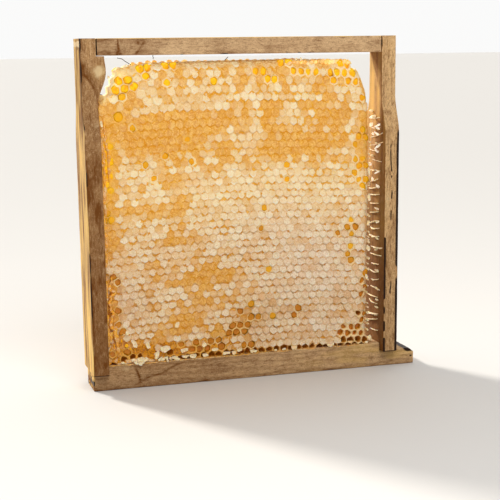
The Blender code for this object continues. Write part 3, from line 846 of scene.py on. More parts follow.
def cell_net(zones, singles, shift):
    """One layer's cells as flat six-sided rings. A place is where a cell meets one of its corners.

    Gives the corners, the middles of the sides and the middle of each cell, as (x, z). For each place:
    its corner, cell and side (at, own, side), the place and the corner that come next round the cell
    (after, following), and whether no neighbour shares the side (alone). For each side: its first place
    (first) and how upright it runs (upright, 0 to 1). For each cell: whether it stands open (is_open).
    """
    start = cell_centres()
    is_open = open_cells(start, zones, singles, shift)
    seed = int(shift)
    jitter = stacked(flat_noise(start, 3.1, 41 + seed), flat_noise(start, 3.1, 42 + seed))
    uneven = smooth(68, 80, start[:, 0]) + smooth(34, 24, start[:, 1]) + smooth(-84, -92, start[:, 0])
    centres = settle(start, 3) + (0.45 + 0.4 * np.minimum(uneven, 1))[:, None] * jitter
    room = to_edge(centres)[0]
    by_wood = ((centres[:, 0] < -90) | (centres[:, 1] < 24)) & (centres[:, 1] < 186)
    crown = (centres[:, 1] > 211) & (np.abs(centres[:, 0] + 15) < 42)
    kept = room > np.where(by_wood, -1.5, np.where(crown, -0.9, 0.5))
    corners, cell, at, after = cell_rings(centres, kept)
    cells, own = np.unique(cell, return_inverse=True)
    used, at = np.unique(at, return_inverse=True)
    corners = corners[used]
    sway = stacked(flat_noise(corners, 2.3, 43 + seed), flat_noise(corners, 2.3, 44 + seed))
    uneven = smooth(68, 80, corners[:, 0]) + smooth(34, 24, corners[:, 1])
    corners = held_back(corners + (0.6 + 0.4 * np.minimum(uneven, 1))[:, None] * sway)
    following = at[after]
    key = np.minimum(at, following) * len(corners) + np.maximum(at, following)
    _, first, side, times = np.unique(key, return_index=True, return_inverse=True, return_counts=True)
    run = np.abs(corners[following[first]] - corners[at[first]])
    return SimpleNamespace(
        corners=corners,
        middles=(corners[at[first]] + corners[following[first]]) / 2,
        middle=stacked(*(averaged(own, corners[at, k], len(cells)) for k in (0, 1))),
        at=at, own=own, side=side, after=after, following=following, first=first,
        alone=times[side] == 1,
        upright=run[:, 1] / np.maximum(np.hypot(run[:, 0], run[:, 1]), 1e-6),
        is_open=is_open[cells],
    )


def layer_faces(net):
    """The faces of a layer over its points: corners, middles of sides, ring points, hubs, two rows of
    wall, and the midrib's own corners, middles and hubs. Strips join a cell's rings, a fan closes each
    at its hub, and round the layer's edge a wall runs down to the midrib in three steps."""
    at, own, after, following = net.at, net.own, net.after, net.following
    rim_side = len(net.corners) + net.side
    shared = len(net.corners) + len(net.middles)
    ring_index = shared + np.arange(len(at) * (RINGS - 1) * 2).reshape(len(at), RINGS - 1, 2)
    hub = shared + ring_index.size + own
    levels = [stacked(at, rim_side)] + [ring_index[:, ring] for ring in range(RINGS - 1)]
    faces = []
    for outer, deeper in zip(levels, levels[1:]):
        faces.append(stacked(outer[:, 0], outer[:, 1], deeper[:, 1], deeper[:, 0]))
        faces.append(stacked(outer[:, 1], outer[after, 0], deeper[after, 0], deeper[:, 1]))
    last = levels[-1]
    faces.append(stacked(last[:, 0], last[:, 1], hub, -1))
    faces.append(stacked(last[:, 1], last[after, 0], hub, -1))
    a, b, c = at[net.alone], rim_side[net.alone], following[net.alone]
    shown = shared + ring_index.size + len(net.middle)
    rows = [np.arange(shared)] + [shown + row * shared + np.arange(shared) for row in range(3)]
    for upper, under in zip(rows, rows[1:]):
        faces.append(stacked(upper[b], upper[a], under[a], under[b]))
        faces.append(stacked(upper[c], upper[b], under[b], under[c]))
    floor, floor_hub = rows[-1], shown + 3 * shared + own
    faces.append(stacked(floor[rim_side], floor[at], floor_hub, -1))
    faces.append(stacked(floor[following], floor[rim_side], floor_hub, -1))
    return np.concatenate(faces)


def cell_kinds(net, wet_zones, seed):
    """What each cell is like. Gives eight odd numbers from 0 to 1 for each cell, whether it is opened
    and full of honey, how deep the honey stands below the face (depth) and where the face is
    (face_at), all in mm, and from 0 to 1 how wet, soaked, rich, white, torn, calm and glowing it is.
    """
    middle = net.middle
    x, z = middle.T
    odd = [hash01(x * 3.1 + k + seed, z * 2.7 - k) for k in range(8)]
    opened = net.is_open & ((to_edge(middle)[0] > np.where(x < 40, 1.5, 2.9)) | (x < -88) | (z < 30))
    rich, white = np.clip(patches(RICH, x, z), 0, 1), np.clip(patches(WHITE, x, z), 0, 1)
    band = smooth(-2.5, 2.5, z - 149 - 3 * np.sin(x / 17) - 2.5 * np.sin(x / 7.3 + 1))
    level = 0.25 + 0.27 * band - 0.08 * smooth(182, 190, z) + patches(wet_zones, x, z) - 0.22 * white
    level = level + 0.14 * flat_noise(middle, 11, 51 + seed)
    level = level + 0.22 * flat_noise(middle * (0.42, 1), 4.6, 57 + seed)
    soaked = smooth(0.36, 0.72, level + 0.54 * (odd[0] - 0.5))
    torn = np.maximum.reduce([
        smooth(79, 88, x) * 0.9, 0.8 * spot(x, z, -88, 30, 14, 20), 0.8 * smooth(25, 20, z),
        0.6 * spot(x, z, 80, 35, 14, 18), 0.4 * spot(x, z, 76, 172, 10, 10),
    ])
    # Painted glow: where light would come through the comb, at its upper left corner, its left edge and along
    # its top
    glow = spot(x, z, -80, 207, 26, 16) + spot(x, z, -95, 150, 8, 36) + 0.7 * smooth(197, 205, z)
    glow = np.clip(glow, 0, 1)
    face_at = half_thickness(middle, 50 + seed)
    low_right = (x > 55) & (z < 66)
    depth = np.where(glow > 0.5, 0.3 + 0.5 * odd[6], 0.15 + 0.6 * odd[5] ** 2) + 1.2 * rich * odd[6]
    depth = np.where((z > 196) & (x > -70), 0.3 + 1.2 * odd[6] ** 2, depth)
    depth = np.where(x < -89, 0.1 + 1.6 * smooth(80, 76, z) * smooth(27, 31, z), depth)
    tint = np.where(low_right, 0.9 + 0.3 * odd[3], odd[3] + 0.8 * rich) * (1 - 0.6 * smooth(95, 130, z))
    tint = tint + 0.7 * smooth(100, 70, z) * smooth(-80, -88, x)
    tint = tint + 0.5 * smooth(66, 56, z) * (np.abs(x) < 50) + 0.6 * spot(x, z, 33, 45, 8, 6)
    return SimpleNamespace(
        odd=odd, opened=opened, rich=rich, white=white, soaked=soaked, torn=torn, glow=glow, face_at=face_at,
        wet=np.clip(0.24 * level + 0.76 * soaked * np.clip(level + 0.35, 0.55, 1), 0, 1),
        calm=np.maximum(np.clip(patches(CALM, x, z), 0, 0.85), 0.85 * soaked),
        full=opened & ((odd[2] < 0.93) | (glow > 0.2) | (z > 78) | (x < 55)) & (z > 23) & (face_at > 6),
        depth=np.where(low_right, 1.6 + 1.2 * odd[5], depth),
        honey_tint=tint,
    )


def ring_points(net, kind, edge, hub, seed):
    """The rings inside each cell, from its lip to its hub: their shares of the way from the centre to
    the edge, their points (x, z), their heights above the layer's face, and the hubs' heights."""
    odd, opened, lift = kind.odd, kind.opened, 1 - kind.calm
    own = net.own
    x, z = net.middle.T
    cap_share, cap = np.array([(1, 0), (0.88, -0.06), (0.72, 0), (0.48, 0.06), (0.22, 0.08)]).T
    cup_share, cup = np.array([(1, 0), (0.84, 0), (0.77, -1.6), (0.74, -6), (0.42, -7)]).T
    wide_open = (z < 23) & (x > -62) | (z > 194) & (x < -66) | (z < 56) & (np.abs(x - 4) < 34)
    mouth = np.where(wide_open, 1.06, 0.78 + 0.24 * odd[7] ** 0.7)
    cup_share = cup_share * np.where(np.arange(RINGS) > 0, mouth[:, None], 1.0)
    shares = np.where(opened[:, None], cup_share, cap_share)
    heights = np.where(opened[:, None], cup, cap * (0.45 + 0.75 * lift)[:, None])
    puff = 0.55 * (odd[1] - 0.5) * (0.35 + 0.65 * lift) - 0.5 * (odd[5] < 0.07) * lift
    dent = 0.55 * (odd[2] > 0.72) * (odd[3] + 0.25) * lift
    heights[:, 1:] += np.where(opened, 0, puff)[:, None]
    heights[:, -1] -= np.where(opened, 0, dent)
    hub_height = np.where(opened, -7.2, heights[:, -1] - 0.4 * dent)

    squash = np.array([(1 - 0.035 * ring, 1 + 0.03 * ring) for ring in range(1, RINGS)])[..., None]
    points = hub[:, None] + shares[own, 1:, None, None] * squash * (edge - hub)[:, None]
    flat = points.reshape(-1, 2)
    wander = stacked(flat_noise(flat, 1.9, 55 + seed), flat_noise(flat, 1.9, 56 + seed))
    wander = wander.reshape(points.shape) * np.where(opened[own], 0.6, 0.42)[:, None, None, None]
    aside = stacked(odd[1] - 0.5, odd[2] - 0.5) * np.where(opened, 0.8, 0.0)[:, None]
    points = points + wander * np.array([1, 1, 0.7, 0.5])[:, None, None] + aside[own][:, None, None]
    downward = 0.1 + 0.08 * smooth(130, 70, z)
    lean = stacked(0.2 * (odd[3] - 0.5), 0.2 * (odd[4] - 0.5) - downward)
    lean = lean * np.where(opened, 0.0, 0.45 + 0.65 * lift)[:, None]
    tilt = ((points - hub[:, None]) * lean[own][:, None, None]).sum(-1)
    return shares, points, heights[own, 1:][:, :, None] + tilt, hub_height


def comb_layer(name, facing, zones, singles, wet_zones, shift, finish, honey_finish):
    """One layer of cells as a closed mesh, and the honey in its open cells.

    A cell is a fan of rings round its centre. Ring r of a cell lies at centre + share_r * (edge -
    centre), at a height taken from the cell's kind: a leaning cap with a groove under its lower
    lip, or a cup. The outermost ring is shared with the neighbours. Round the layer's edge a wall
    runs back to the midrib, which closes it.
    """
    seed = int(shift)
    net = cell_net(zones, singles, shift)
    kind = cell_kinds(net, wet_zones, seed)
    corners, middles, middle, upright = net.corners, net.middles, net.middle, net.upright
    at, own, side, first = net.at, net.own, net.side, net.first
    odd, opened, soaked, rich, white = kind.odd, kind.opened, kind.soaked, kind.rich, kind.white
    both = np.concatenate([corners, middles])
    edge = np.stack([corners[at], middles[side]], 1)
    hub = middle[own][:, None]
    shares, inner, inner_height, hub_height = ring_points(net, kind, edge, hub, seed)
    flat = np.concatenate([both, inner.reshape(-1, 2), middle])
    shared, cells = len(both), len(middle)

    def noise(points, size, number):
        return flat_noise(points, size, number + seed)

    def at_corners(by_side):
        """A side's number, averaged over the sides that meet at each corner."""
        return averaged(np.concatenate([at[first], net.following[first]]), np.tile(by_side, 2), len(corners))

    def at_sides(by_cell):
        """A cell's number, averaged over the two cells that meet at each side."""
        return averaged(side, by_cell[own], len(middles))

    def on_rims(by_cell):
        """A cell's number, averaged over the cells that meet at each corner, then at each side."""
        return np.concatenate([averaged(at, by_cell[own], len(corners)), at_sides(by_cell)])

    def spread(by_cell):
        """A cell's number on all of the front's points."""
        return np.concatenate([on_rims(by_cell), np.repeat(by_cell[own], (RINGS - 1) * 2), by_cell])

    # Pale flakes of dry cap: share f of the way to the edge, further at the lower lip, drawn across
    # the side to the neighbour's flake where the two have closed up
    close = hash01(middles[:, 0] * 1.3 + 5, middles[:, 1] * 2.9)
    close_share = 0.52 + 0.4 * smooth(0.6, 0.95, upright) + 0.3 * at_sides(white) - 0.3 * at_sides(soaked)
    bridge = 0.55 * smooth(-0.12, 0.12, close_share - close) - 0.09
    reach = 0.84 + 0.08 * white + 0.1 * (odd[6] - 0.5) - 0.1 * soaked - 0.7 * rich * (odd[0] > 0.3)
    reach = np.where(opened, -0.4, reach)
    toward = edge - hub
    toward = toward / np.maximum(np.hypot(toward[..., 0], toward[..., 1]), 1e-6)[..., None]
    far = reach[own][:, None] + stacked(at_corners(bridge)[at], bridge[side])
    far = far + (0.3 * (odd[1] - 0.5)[own][:, None] - 0.21) * toward[..., 1]
    far = far + 0.36 * (odd[7] - 0.5)[own][:, None] * toward[..., 0]
    far = far + 0.3 * noise(edge.reshape(-1, 2), 1.5, 58).reshape(far.shape)
    met = [averaged(at, far[:, 0] - 1, len(corners)), averaged(side, far[:, 1] - 1, len(middles))]
    cover = np.concatenate(met + [(far[:, None] - shares[own, 1:][:, :, None]).ravel(), reach])

    # Grooves: deep under the caps' lower lips, shallow between neighbours in a row
    chance = 0.66 - 0.4 * smooth(0.6, 0.95, upright) + 0.35 * noise(middles, 12, 52)
    drawn = hash01(middles[:, 0] * 2.1, middles[:, 1] * 1.7)
    by_side = smooth(0.16, -0.16, drawn - chance) * (0.6 + 0.4 * hash01(middles[:, 1], middles[:, 0]))
    broken = np.clip(0.85 + 0.5 * noise(both, 2.4, 53), 0.3, 1.25)
    groove = np.concatenate([at_corners(by_side), by_side]) * broken
    soft, by_open, ragged = on_rims(kind.calm), on_rims(opened * 1.0) > 0, on_rims(kind.torn)
    edge_height = -0.02 - (0.05 + 0.2 * groove * (1.0 - 0.6 * soft)) * (1.0 - 0.75 * soft)
    rim_height = -0.05 + 0.6 * ragged + (0.22 + 0.9 * ragged) * noise(both, 2.0, 54)
    edge_height = np.where(by_open, rim_height, edge_height)
    groove = groove * np.where(by_open, 0.25, 1.0)

    # Heights: the rings' own, the flakes' thickness, torn roughness, and the hollow on the left
    x, z = flat.T
    height = np.concatenate([edge_height, inner_height.ravel(), hub_height])
    ragged = spread(kind.torn)
    thick = spread((0.08 + 0.2 * odd[3]) * (1 - 0.75 * soaked))
    height = height + (1.0 - spread(opened * 1.0)) * (thick * smooth(-0.07, 0.07, cover) - 0.1)
    height = height + (0.12 + 0.1 * ragged) * flat_noise(flat, 1.1, 45) + 0.12 * flat_noise(flat, 2.7, 46)
    height = height + 0.4 * ragged * flat_noise(flat, 1.9, 48)
    height = height - 1.5 * smooth(-86.5, -89.5, x) * smooth(27, 31, z) * smooth(80, 76, z)
    out = np.clip(half_thickness(flat, 50 + seed) + height, 0.5, FARTHEST)

    # The wall round the layer's edge, in three steps down to the midrib, and the midrib
    outward = [out, out[:shared] * 0.66, out[:shared] * 0.33, np.full(shared + cells, -MIDRIB)]
    across, up = np.concatenate([flat, both, both, both, middle]).T
    faces = turned_out(layer_faces(net), facing)
    wanted = np.unique(faces[faces >= 0])
    renumber = np.full(len(across) + 1, -1)
    renumber[wanted] = np.arange(len(wanted))
    points = stacked(across, facing * np.concatenate(outward), up)[wanted]

    def painted(front, back):
        """Numbers of the front's points, with those of the wall and the midrib after them."""
        rows = [front, front[:shared], front[:shared], np.full(shared + cells, back)]
        return np.concatenate(rows)[wanted]

    def on_points(on_shared, in_rings, at_hubs):
        """Numbers for the shared points, the rings and the hubs, one after the other."""
        in_rings = np.broadcast_to(in_rings, inner_height.shape).ravel()
        on_shared, at_hubs = np.broadcast_to(on_shared, shared), np.broadcast_to(at_hubs, cells)
        return np.concatenate([on_shared, in_rings, at_hubs])

    def by_ring(*values):
        """A number for each of the four inner rings."""
        return np.array(values)[:, None]

    def by_place(by_cell):
        """A cell's number, for each of its ring points."""
        return by_cell[own][:, None, None]

    # A cap's upper side lies in the shadow of the lip above it, and its lower lip catches the light
    rim = stacked(at, len(corners) + side)
    above = ((inner - hub[:, None]) * np.array([0, 0.38])).sum(-1).clip(0, 1)
    line = above[:, :1] * by_ring(0.55, 0.2, 0, 0) * broken[rim][:, None]
    line = np.maximum(line, groove[rim][:, None] * by_ring(0.46, 0.04, 0, 0))
    lip = 0.5 * by_place(odd[6] - 0.5) * toward[:, None, :, 0] - 1.3 * toward[:, None, :, 1]
    lip = by_place(0.5 + 0.5 * odd[5]) * by_ring(1.0, 0.75, 0.2, 0.0) * np.clip(lip, -1, 1)
    sealed = by_place(1.0 - opened)
    hollow = np.where(kind.full, 0.15, 1.0) * opened

    # The layer's free edge, a painted glow where light would come through its upper corner, its left
    # edge and its top edge, painted light that makes it paler and warmer towards the top, and zones
    # of colour
    free = np.zeros(len(flat))
    free[np.concatenate([rim[net.alone].ravel(), net.following[net.alone]])] = 1.0
    crest = free * (x > -97.0) * (z > 20)
    inside, over_top = to_edge(flat)[0], smooth(200, 206, z)
    # Painted glow at the upper corner and top edge, at the left edge, and in the walls along the top
    shine = spot(x, z, -93, 206, 19, 17) * smooth(11.0, 3.0, inside) + 0.2 * crest * over_top
    gold = spot(x, z, -95, 150, 9, 34) + 0.7 * spot(x, z, -84, 207, 16, 12)
    wall = painted(over_top, 0.0) * (wanted >= len(flat))
    paint = {
        "wet": painted(spread(kind.wet), 0.6),
        "cover": painted(cover, -0.3),
        "rich": painted(spread(rich), 0.4),
        "thin": painted(spread(odd[6]), 0.5),
        "white": painted(spread(white), 0.3),
        "tint": painted(spread(odd[4]), 0.5),
        "line": painted(on_points(groove, line * sealed, 0), 0.3),
        "soaked": painted(spread(soaked), 0.5),
        "seam": painted(on_points(1, by_ring(0.4, 0, 0, 0), 0), 0.5),
        "lip": painted(on_points(0, lip * sealed, 0), 0.0),
        # Painted glow along the top edge
        "glow_fringe": painted(smooth(3.2, 0.6, inside) * smooth(188, 196, z), 0.5),
        "deep": painted(on_points(0, by_place(hollow) * by_ring(0.1, 0.6, 1, 1), hollow), 0.0),
        "rim": painted(np.maximum(crest, on_points(by_open, (1 - sealed) * by_ring(1, 0, 0, 0), 0)), 1.0),
        "shine": painted(np.clip(shine, 0, 1), 0.4),
        # Painted light: warmer and paler towards the top
        "warm": painted(np.clip(smooth(82, 140, z) + 0.14 * smooth(20, -60, x), 0, 1), 0.5),
        "wall": wall,
        "brown": painted(np.clip(patches(BROWN, x, z), 0, 1), 0.0),
        "gold": painted(np.clip(gold, 0, 1), 0.0),
    }
    layer = mesh_object(name, points, renumber[faces], finish, paint)
    places = (kind.full[own], own, net.after, edge, middle, kind.face_at - kind.depth)
    values = {"tint": kind.honey_tint, "glow": kind.glow}
    return layer, honey_pools(name + "_honey", facing, *places, values, honey_finish)


def beeswax():
    """Beeswax over honey: cream where the cap is dry, amber where honey wets it, deeper in the
    grooves between caps, and orange down inside open cells. A little light goes through it. Light
    is also painted on: the wax is paler and warmer towards the top, and glows with painted light
    inside open cells, at the upper corner and along the top edge."""
    wax = Finish("beeswax")
    place = wax.place()
    cloud, grit = wax.noise(place, 120.0, 3.0, 0.6), wax.noise(place, 1300.0, 3.0, 0.6)
    fine, shred = wax.noise(place, 560.0, 3.0, 0.65, 0.5), wax.noise(place, 460.0, 2.0, 0.55, 1.6)
    dust, stroke = wax.noise(place, 1700.0, 2.0, 0.6), wax.noise(place, 170.0, 2.0, 0.55, 1.6)
    names = ("tint", "thin", "rich", "white", "soaked", "warm", "deep", "lip", "glow_fringe", "shine")
    tint, thin, rich, white, soaked, warm, deep, lip, glow_fringe, shine = map(wax.painted, names)
    edge = wax.painted("cover") * 2.1 + (fine - 0.5) * 3.4 + (grit - 0.5) * 1.8
    blur = soaked * 0.35 + 0.28
    opaque = 0.97 - (thin * 0.65 + cloud * 0.9 - 0.53).between(0.0, 0.9) * 0.6
    flake = edge.between(blur * -1.0, blur) * opaque * (1.0 - soaked * 0.86)

    # Wax that honey wets, with the grooves between caps, painted darker low down and brighter
    # towards the top
    line = (wax.painted("line") * (fine * 1.5 + soaked * 0.5 + 0.3)).between(0.22, 0.7)
    golden = (tint * 0.5 + cloud * 1.2 - 0.4).between(0.0, 1.0)
    gap = wax.mix(warm, rgb(214, 138, 36), rgb(242, 180, 50))
    gap = wax.mix(soaked.most(thin * warm * 0.7), gap, rgb(216, 140, 2))
    honey = wax.layers(wax.mix(golden, rgb(242, 192, 90), rgb(228, 163, 46)), (
        (abs(stroke - 0.5).between(0.07, 0.02) * 0.85, (214, 136, 8)),
        (shred.between(0.54, 0.64) * 0.6, (210, 132, 8)),
        (shred.between(0.45, 0.34) * 0.55, (254, 222, 150)),
        (line.most(edge.between(-1.3, -0.4) * (0.7 - soaked * 0.4)), gap),
        (white * 0.6, (204, 142, 62)),
        (rich * (cloud * 0.6 + 0.75),
         wax.mix(shred.between(0.42, 0.6), rgb(226, 152, 14), rgb(166, 96, 4))),
    ))

    # Dry cap, paler towards the top as painted light, with warm painted shade round its rim, a
    # painted highlight on its lower lip and painted shade on its upper side
    grain = (tint * 0.45 + fine - 0.22).between(0.0, 1.0)
    pale = wax.layers(wax.mix(grain, rgb(252, 234, 202), rgb(243, 212, 164)), (
        (warm, wax.mix(grain, rgb(254, 238, 200), rgb(246, 216, 158))),
        (white * 0.9, wax.mix(grain, rgb(253, 238, 216), rgb(240, 214, 182))),
        (rich * 0.6, (230, 198, 150)),
        (wax.painted("seam") * (0.5 - white * 0.2), (248, 200, 118)),
        ((lip * (fine * 2.4 - 0.4)).between(0.1, 0.9) * 0.85, (255, 247, 232)),
        ((lip * -1.0).between(0.1, 1.0) * (0.56 - warm * 0.36), (212, 142, 66)),
    ))

    # Both together, with what lies over them: travel stain, a painted glow along the top edge, torn
    # rims, a golden painted glow at the left edge and upper corner, cell walls, a paler painted glow
    # at the upper corner, and wax dust whose pale specks are partly painted glints
    wet_rim = wax.painted("wet").between(0.5, 0.95).most(rich) * (1.0 - white * 0.85)
    fleck = dust.between(0.53, 0.68) * (flake * 0.45 + 0.3) * (1.0 - rich * 0.7)
    pit = dust.between(0.47, 0.32) * ((1.0 - warm * 0.75) * 0.45 + 0.25) * (1.0 - deep)
    tone = wax.layers(wax.mix(flake, honey, pale), (
        (wax.painted("brown") * (cloud * 0.8 + 0.1) * (1.0 - flake * 0.55),
         wax.mix(fine.between(0.35, 0.65), rgb(206, 156, 104), rgb(176, 118, 60))),
        (glow_fringe * 0.7, wax.mix(fine.between(0.46, 0.58), rgb(255, 238, 180), rgb(206, 146, 58))),
        (wax.painted("rim") * 0.75, wax.mix(wet_rim, rgb(252, 230, 182), rgb(240, 186, 92))),
        (wax.painted("gold") * (cloud * 0.8 + 0.25), (250, 188, 44)),
        (deep, wax.mix(warm, rgb(196, 126, 34), rgb(232, 160, 34))),
        (shine * 0.85, (255, 244, 180)),
        (fleck, wax.mix(flake, rgb(255, 206, 104), rgb(255, 246, 226))),
        (pit, wax.mix(flake * 0.6, rgb(214, 134, 26), rgb(204, 150, 92))),
    ))
    # Painted glow, as of light through thin wax: towards the top, in the grooves, along the top edge and in
    # the walls along the top
    through = (warm * (1.0 - soaked) * 0.18).most(glow_fringe * 0.25)
    through = through.most((1.0 - flake) * (1.0 - deep) * (warm * 0.24 + 0.15)).most(wax.painted("wall"))
    wax.shader(
        Base_Color=tone,
        Roughness=flake * 0.2 + grit * 0.1 + 0.34,
        Normal=wax.bump(fine * 0.5 + grit * 0.6 + dust * 0.3 + flake * 0.3, 0.0009, 0.75),
        Subsurface_Weight=0.15,
        Subsurface_Radius=(1.0, 0.6, 0.22),
        Subsurface_Scale=0.0011,
        Emission_Color=wax.mix((deep * (warm * 0.3 + 0.1)).most(shine * 1.9).most(through), BLACK, tone),
        Emission_Strength=0.4,
        Specular_IOR_Level=0.25,
    )
    return wax


def honey_finish():
    """Honey: glossy, from bright yellow, a painted glow where light comes through the comb, to deep
    orange. All of it glows a little with painted light.
    """
    honey = Finish("honey")
    tint, glow = honey.painted("tint"), honey.painted("glow")
    swirl = honey.noise(honey.place(), 260.0, 2.0, 0.5, 0.6)
    deeper = (tint * 0.8 + swirl * 0.4).between(0.2, 1.25)
    tone = honey.layers(honey.mix(deeper, rgb(250, 176, 10), rgb(204, 124, 6)), (
        (glow * 0.9, (255, 198, 12)),
        (glow * swirl.between(0.5, 0.62) * 0.8, (226, 150, 2)),
    ))
    # Painted glow: a little on all honey, more where glow is painted and where the honey is paler
    lit = honey.mix(glow * 0.7 + 0.3 - (tint * 0.3).least(0.3), BLACK, tone)
    honey.shader(
        Base_Color=tone,
        Roughness=0.18,
        Subsurface_Weight=0.3,
        Subsurface_Radius=(1.0, 0.4, 0.03),
        Subsurface_Scale=0.003,
        Specular_IOR_Level=0.3,
        Coat_Weight=0.15,
        Coat_Roughness=0.05,
        Emission_Color=lit,
        Emission_Strength=0.3,
        Normal=honey.bump(swirl, 0.0006, 0.3),
    )
    return honey


wax_finish, pool_finish = beeswax(), honey_finish()
for name, facing, zones, singles, wet_zones, shift in (
    ("comb_front", -1, OPEN_FRONT, OPEN_SINGLES, WET_FRONT, 0.0),
    ("comb_back", 1, OPEN_BACK, [], WET_BACK, 31.7),
):
    for piece in comb_layer(name, facing, zones, singles, wet_zones, shift, wax_finish, pool_finish):
        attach(piece, "root")
        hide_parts("comb")

# ---------------------------------------------------------------------------------------------
# Torn wax. Where the comb came away from the right bar, the ends of its cell walls still stand on
# the wood as thin ridges. Beside the lower left of the slab one torn wall curls out over the honey,
# and scraps of cap hang where the comb meets the lugged bar.
# ---------------------------------------------------------------------------------------------


def odd_numbers(places, first, second, count):
    """Hashed numbers from 0 to 1 for each place p: number n is hash01(p * first + n, p * second - n)."""
    return [hash01(places * first + n, places * second - n) for n in range(count)]


def swelling(t, tip, power):
    """How a torn wall rises and falls from end to end: sin(pi ((1 - 2 tip) t + tip)) ^ power."""
    return np.sin(np.pi * np.clip(t * (1 - 2 * tip) + tip, 0, 1)) ** power


def facing_out(piece):
    """Turns a closed mesh's faces round if its volume, a sixth of the sum of a . (b x c), is negative."""
    mesh = piece.data
    mesh.calc_loop_triangles()
    points = np.empty(len(mesh.vertices) * 3)
    mesh.vertices.foreach_get("co", points)
    ends = np.empty(len(mesh.loop_triangles) * 3, np.int32)
    mesh.loop_triangles.foreach_get("vertices", ends)
    a, b, c = points.reshape(-1, 3)[ends.reshape(-1, 3)].transpose(1, 0, 2)
    if (a * np.cross(b, c)).sum() < 0:
        mesh.flip_normals()
    return piece


def fins(name, finish, root, rise, thick, paint):
    """Thin torn walls, each a closed strip: a row of the arrays for each wall, a column for each
    step t along it. Along its root r(t) stands a crest r(t) + rise(t). Round the strip, point k is
    r + h_k rise + w_k thick n, where n is square to the root and the rise, and (h_k, w_k) is a
    thin wedge. Both ends shrink to a point.
    """
    h = np.array([-0.12, 0.3, 0.66, 0.92, 1.0, 0.92, 0.66, 0.3])
    w = np.array([0.0, 1.0, 0.75, 0.5, 0.0, -0.5, -0.75, -1.0])
    count, steps = root.shape[:2]
    flat = np.cross(np.gradient(root, axis=1), rise)
    flat = flat / np.maximum(np.linalg.norm(flat, axis=-1, keepdims=True), 1e-9)
    size = np.broadcast_to(thick, (count, steps))[..., None, None] * w[:, None]
    skin = root[:, :, None] + h[:, None] * rise[:, :, None] + size * flat[:, :, None]
    around = len(h)
    index = np.arange(count * steps * around).reshape(count, steps, around)
    turn = np.roll(index, -1, axis=2)
    sides = np.stack([index[:, :-1], index[:, 1:], turn[:, 1:], turn[:, :-1]], -1).reshape(-1, 4)
    tip = count * steps * around + np.arange(2 * count).reshape(count, 2)
    start = stacked(tip[:, :1], index[:, 0], turn[:, 0], -1).reshape(-1, 4)
    stop = stacked(tip[:, 1:], turn[:, -1], index[:, -1], -1).reshape(-1, 4)
    points = np.concatenate([skin.reshape(-1, 3), root[:, [0, -1]].reshape(-1, 3)])
    spread = {key: np.broadcast_to(value, (count, steps)) for key, value in paint.items()}
    paint = {
        key: np.concatenate([np.repeat(value.ravel(), around), value[:, [0, -1]].ravel()])
        for key, value in spread.items()
    }
    return facing_out(mesh_object(name, points, np.concatenate([sides, start, stop]), finish, paint))


def torn_wax():
    """Cream wax, thin enough that light comes through it, with amber where honey still clings. It
    glows a little with painted light, and the pieces marked so carry painted sunlight or a
    painted glow.
    """
    wax = Finish("torn wax")
    place = wax.place()
    fine, dust = wax.noise(place, 420.0, 3.0, 0.6), wax.noise(place, 1500.0, 2.0, 0.6)
    wet, sunlit, lit = wax.painted("wet"), wax.painted("sunlit"), wax.painted("lit")
    amber = (wet + fine * 0.6 - 0.3).between(0.1, 0.9)
    tone = wax.layers(wax.mix(amber, rgb(248, 226, 182), rgb(226, 158, 52)), (
        ((wet + fine * 0.4 - 0.9).between(0.1, 0.6), (250, 176, 30)),
        (dust.between(0.54, 0.7) * 0.5, (255, 248, 230)),
        # Painted sunlight, and below it a painted glow
        (sunlit * 0.7, (255, 250, 238)),
        (dust.between(0.46, 0.3) * 0.5, (196, 136, 66)),
        (lit * 0.8, (250, 204, 92)),
    ))
    wax.shader(
        Base_Color=tone,
        Roughness=0.42,
        Normal=wax.bump(fine + dust * 0.5, 0.0008, 0.6),
        Subsurface_Weight=0.4,
        Subsurface_Radius=(1.0, 0.6, 0.25),
        Subsurface_Scale=0.002,
        Emission_Color=wax.mix(lit.most(sunlit * 0.34 + 0.11), BLACK, tone),
        Emission_Strength=0.8,
    )
    return wax


def ridges_on_bar(count=26, lowest=26.0, highest=176.0):
    """Roots run along the bar's inner face, z = z_i + slope_i y + a wave, and crests stand up to
    3.4 mm off it, higher towards the front, with a torn edge."""
    k = np.arange(count)[:, None]
    t = np.linspace(0, 1, 15)[None, :]
    odd = odd_numbers(k, 1.7, 0.9, 6)
    z = lowest + (highest - lowest) * (k + 0.35 * (odd[0] - 0.5)) / (count - 1)
    back = 4 + 6 * odd[1]
    fore = -6.5 - 4 * odd[2] - 5 * (odd[5] > 0.75)
    y = back + (fore - back) * t
    z = z + (0.10 - 0.32 * odd[3]) * (y + 6) + 3.6 * (t - 0.5) ** 2 * (odd[4] - 0.2)
    root = stacked(INNER + 0.05, y, z)
    height = 1.0 + 1.2 * t**1.5 + 1.3 * value_noise(root, 2.2, 61) + 1.2 * (odd[1] - 0.5)
    height = (height - 1.1 * smooth(125, 145, z)) * swelling(t, 0.03, 0.4)
    height = np.clip(height, 0.15, 3.4)
    upward = (0.5 - odd[2]) * height * 0.9 + 0.35 * value_noise(root, 1.6, 62)
    rise = stacked(-height, -0.35 * height, upward)
    return root, rise, 0.42 - 0.12 * t, {"wet": 0.25 - 0.35 * t + 0.3 * (odd[5] - 0.5)}


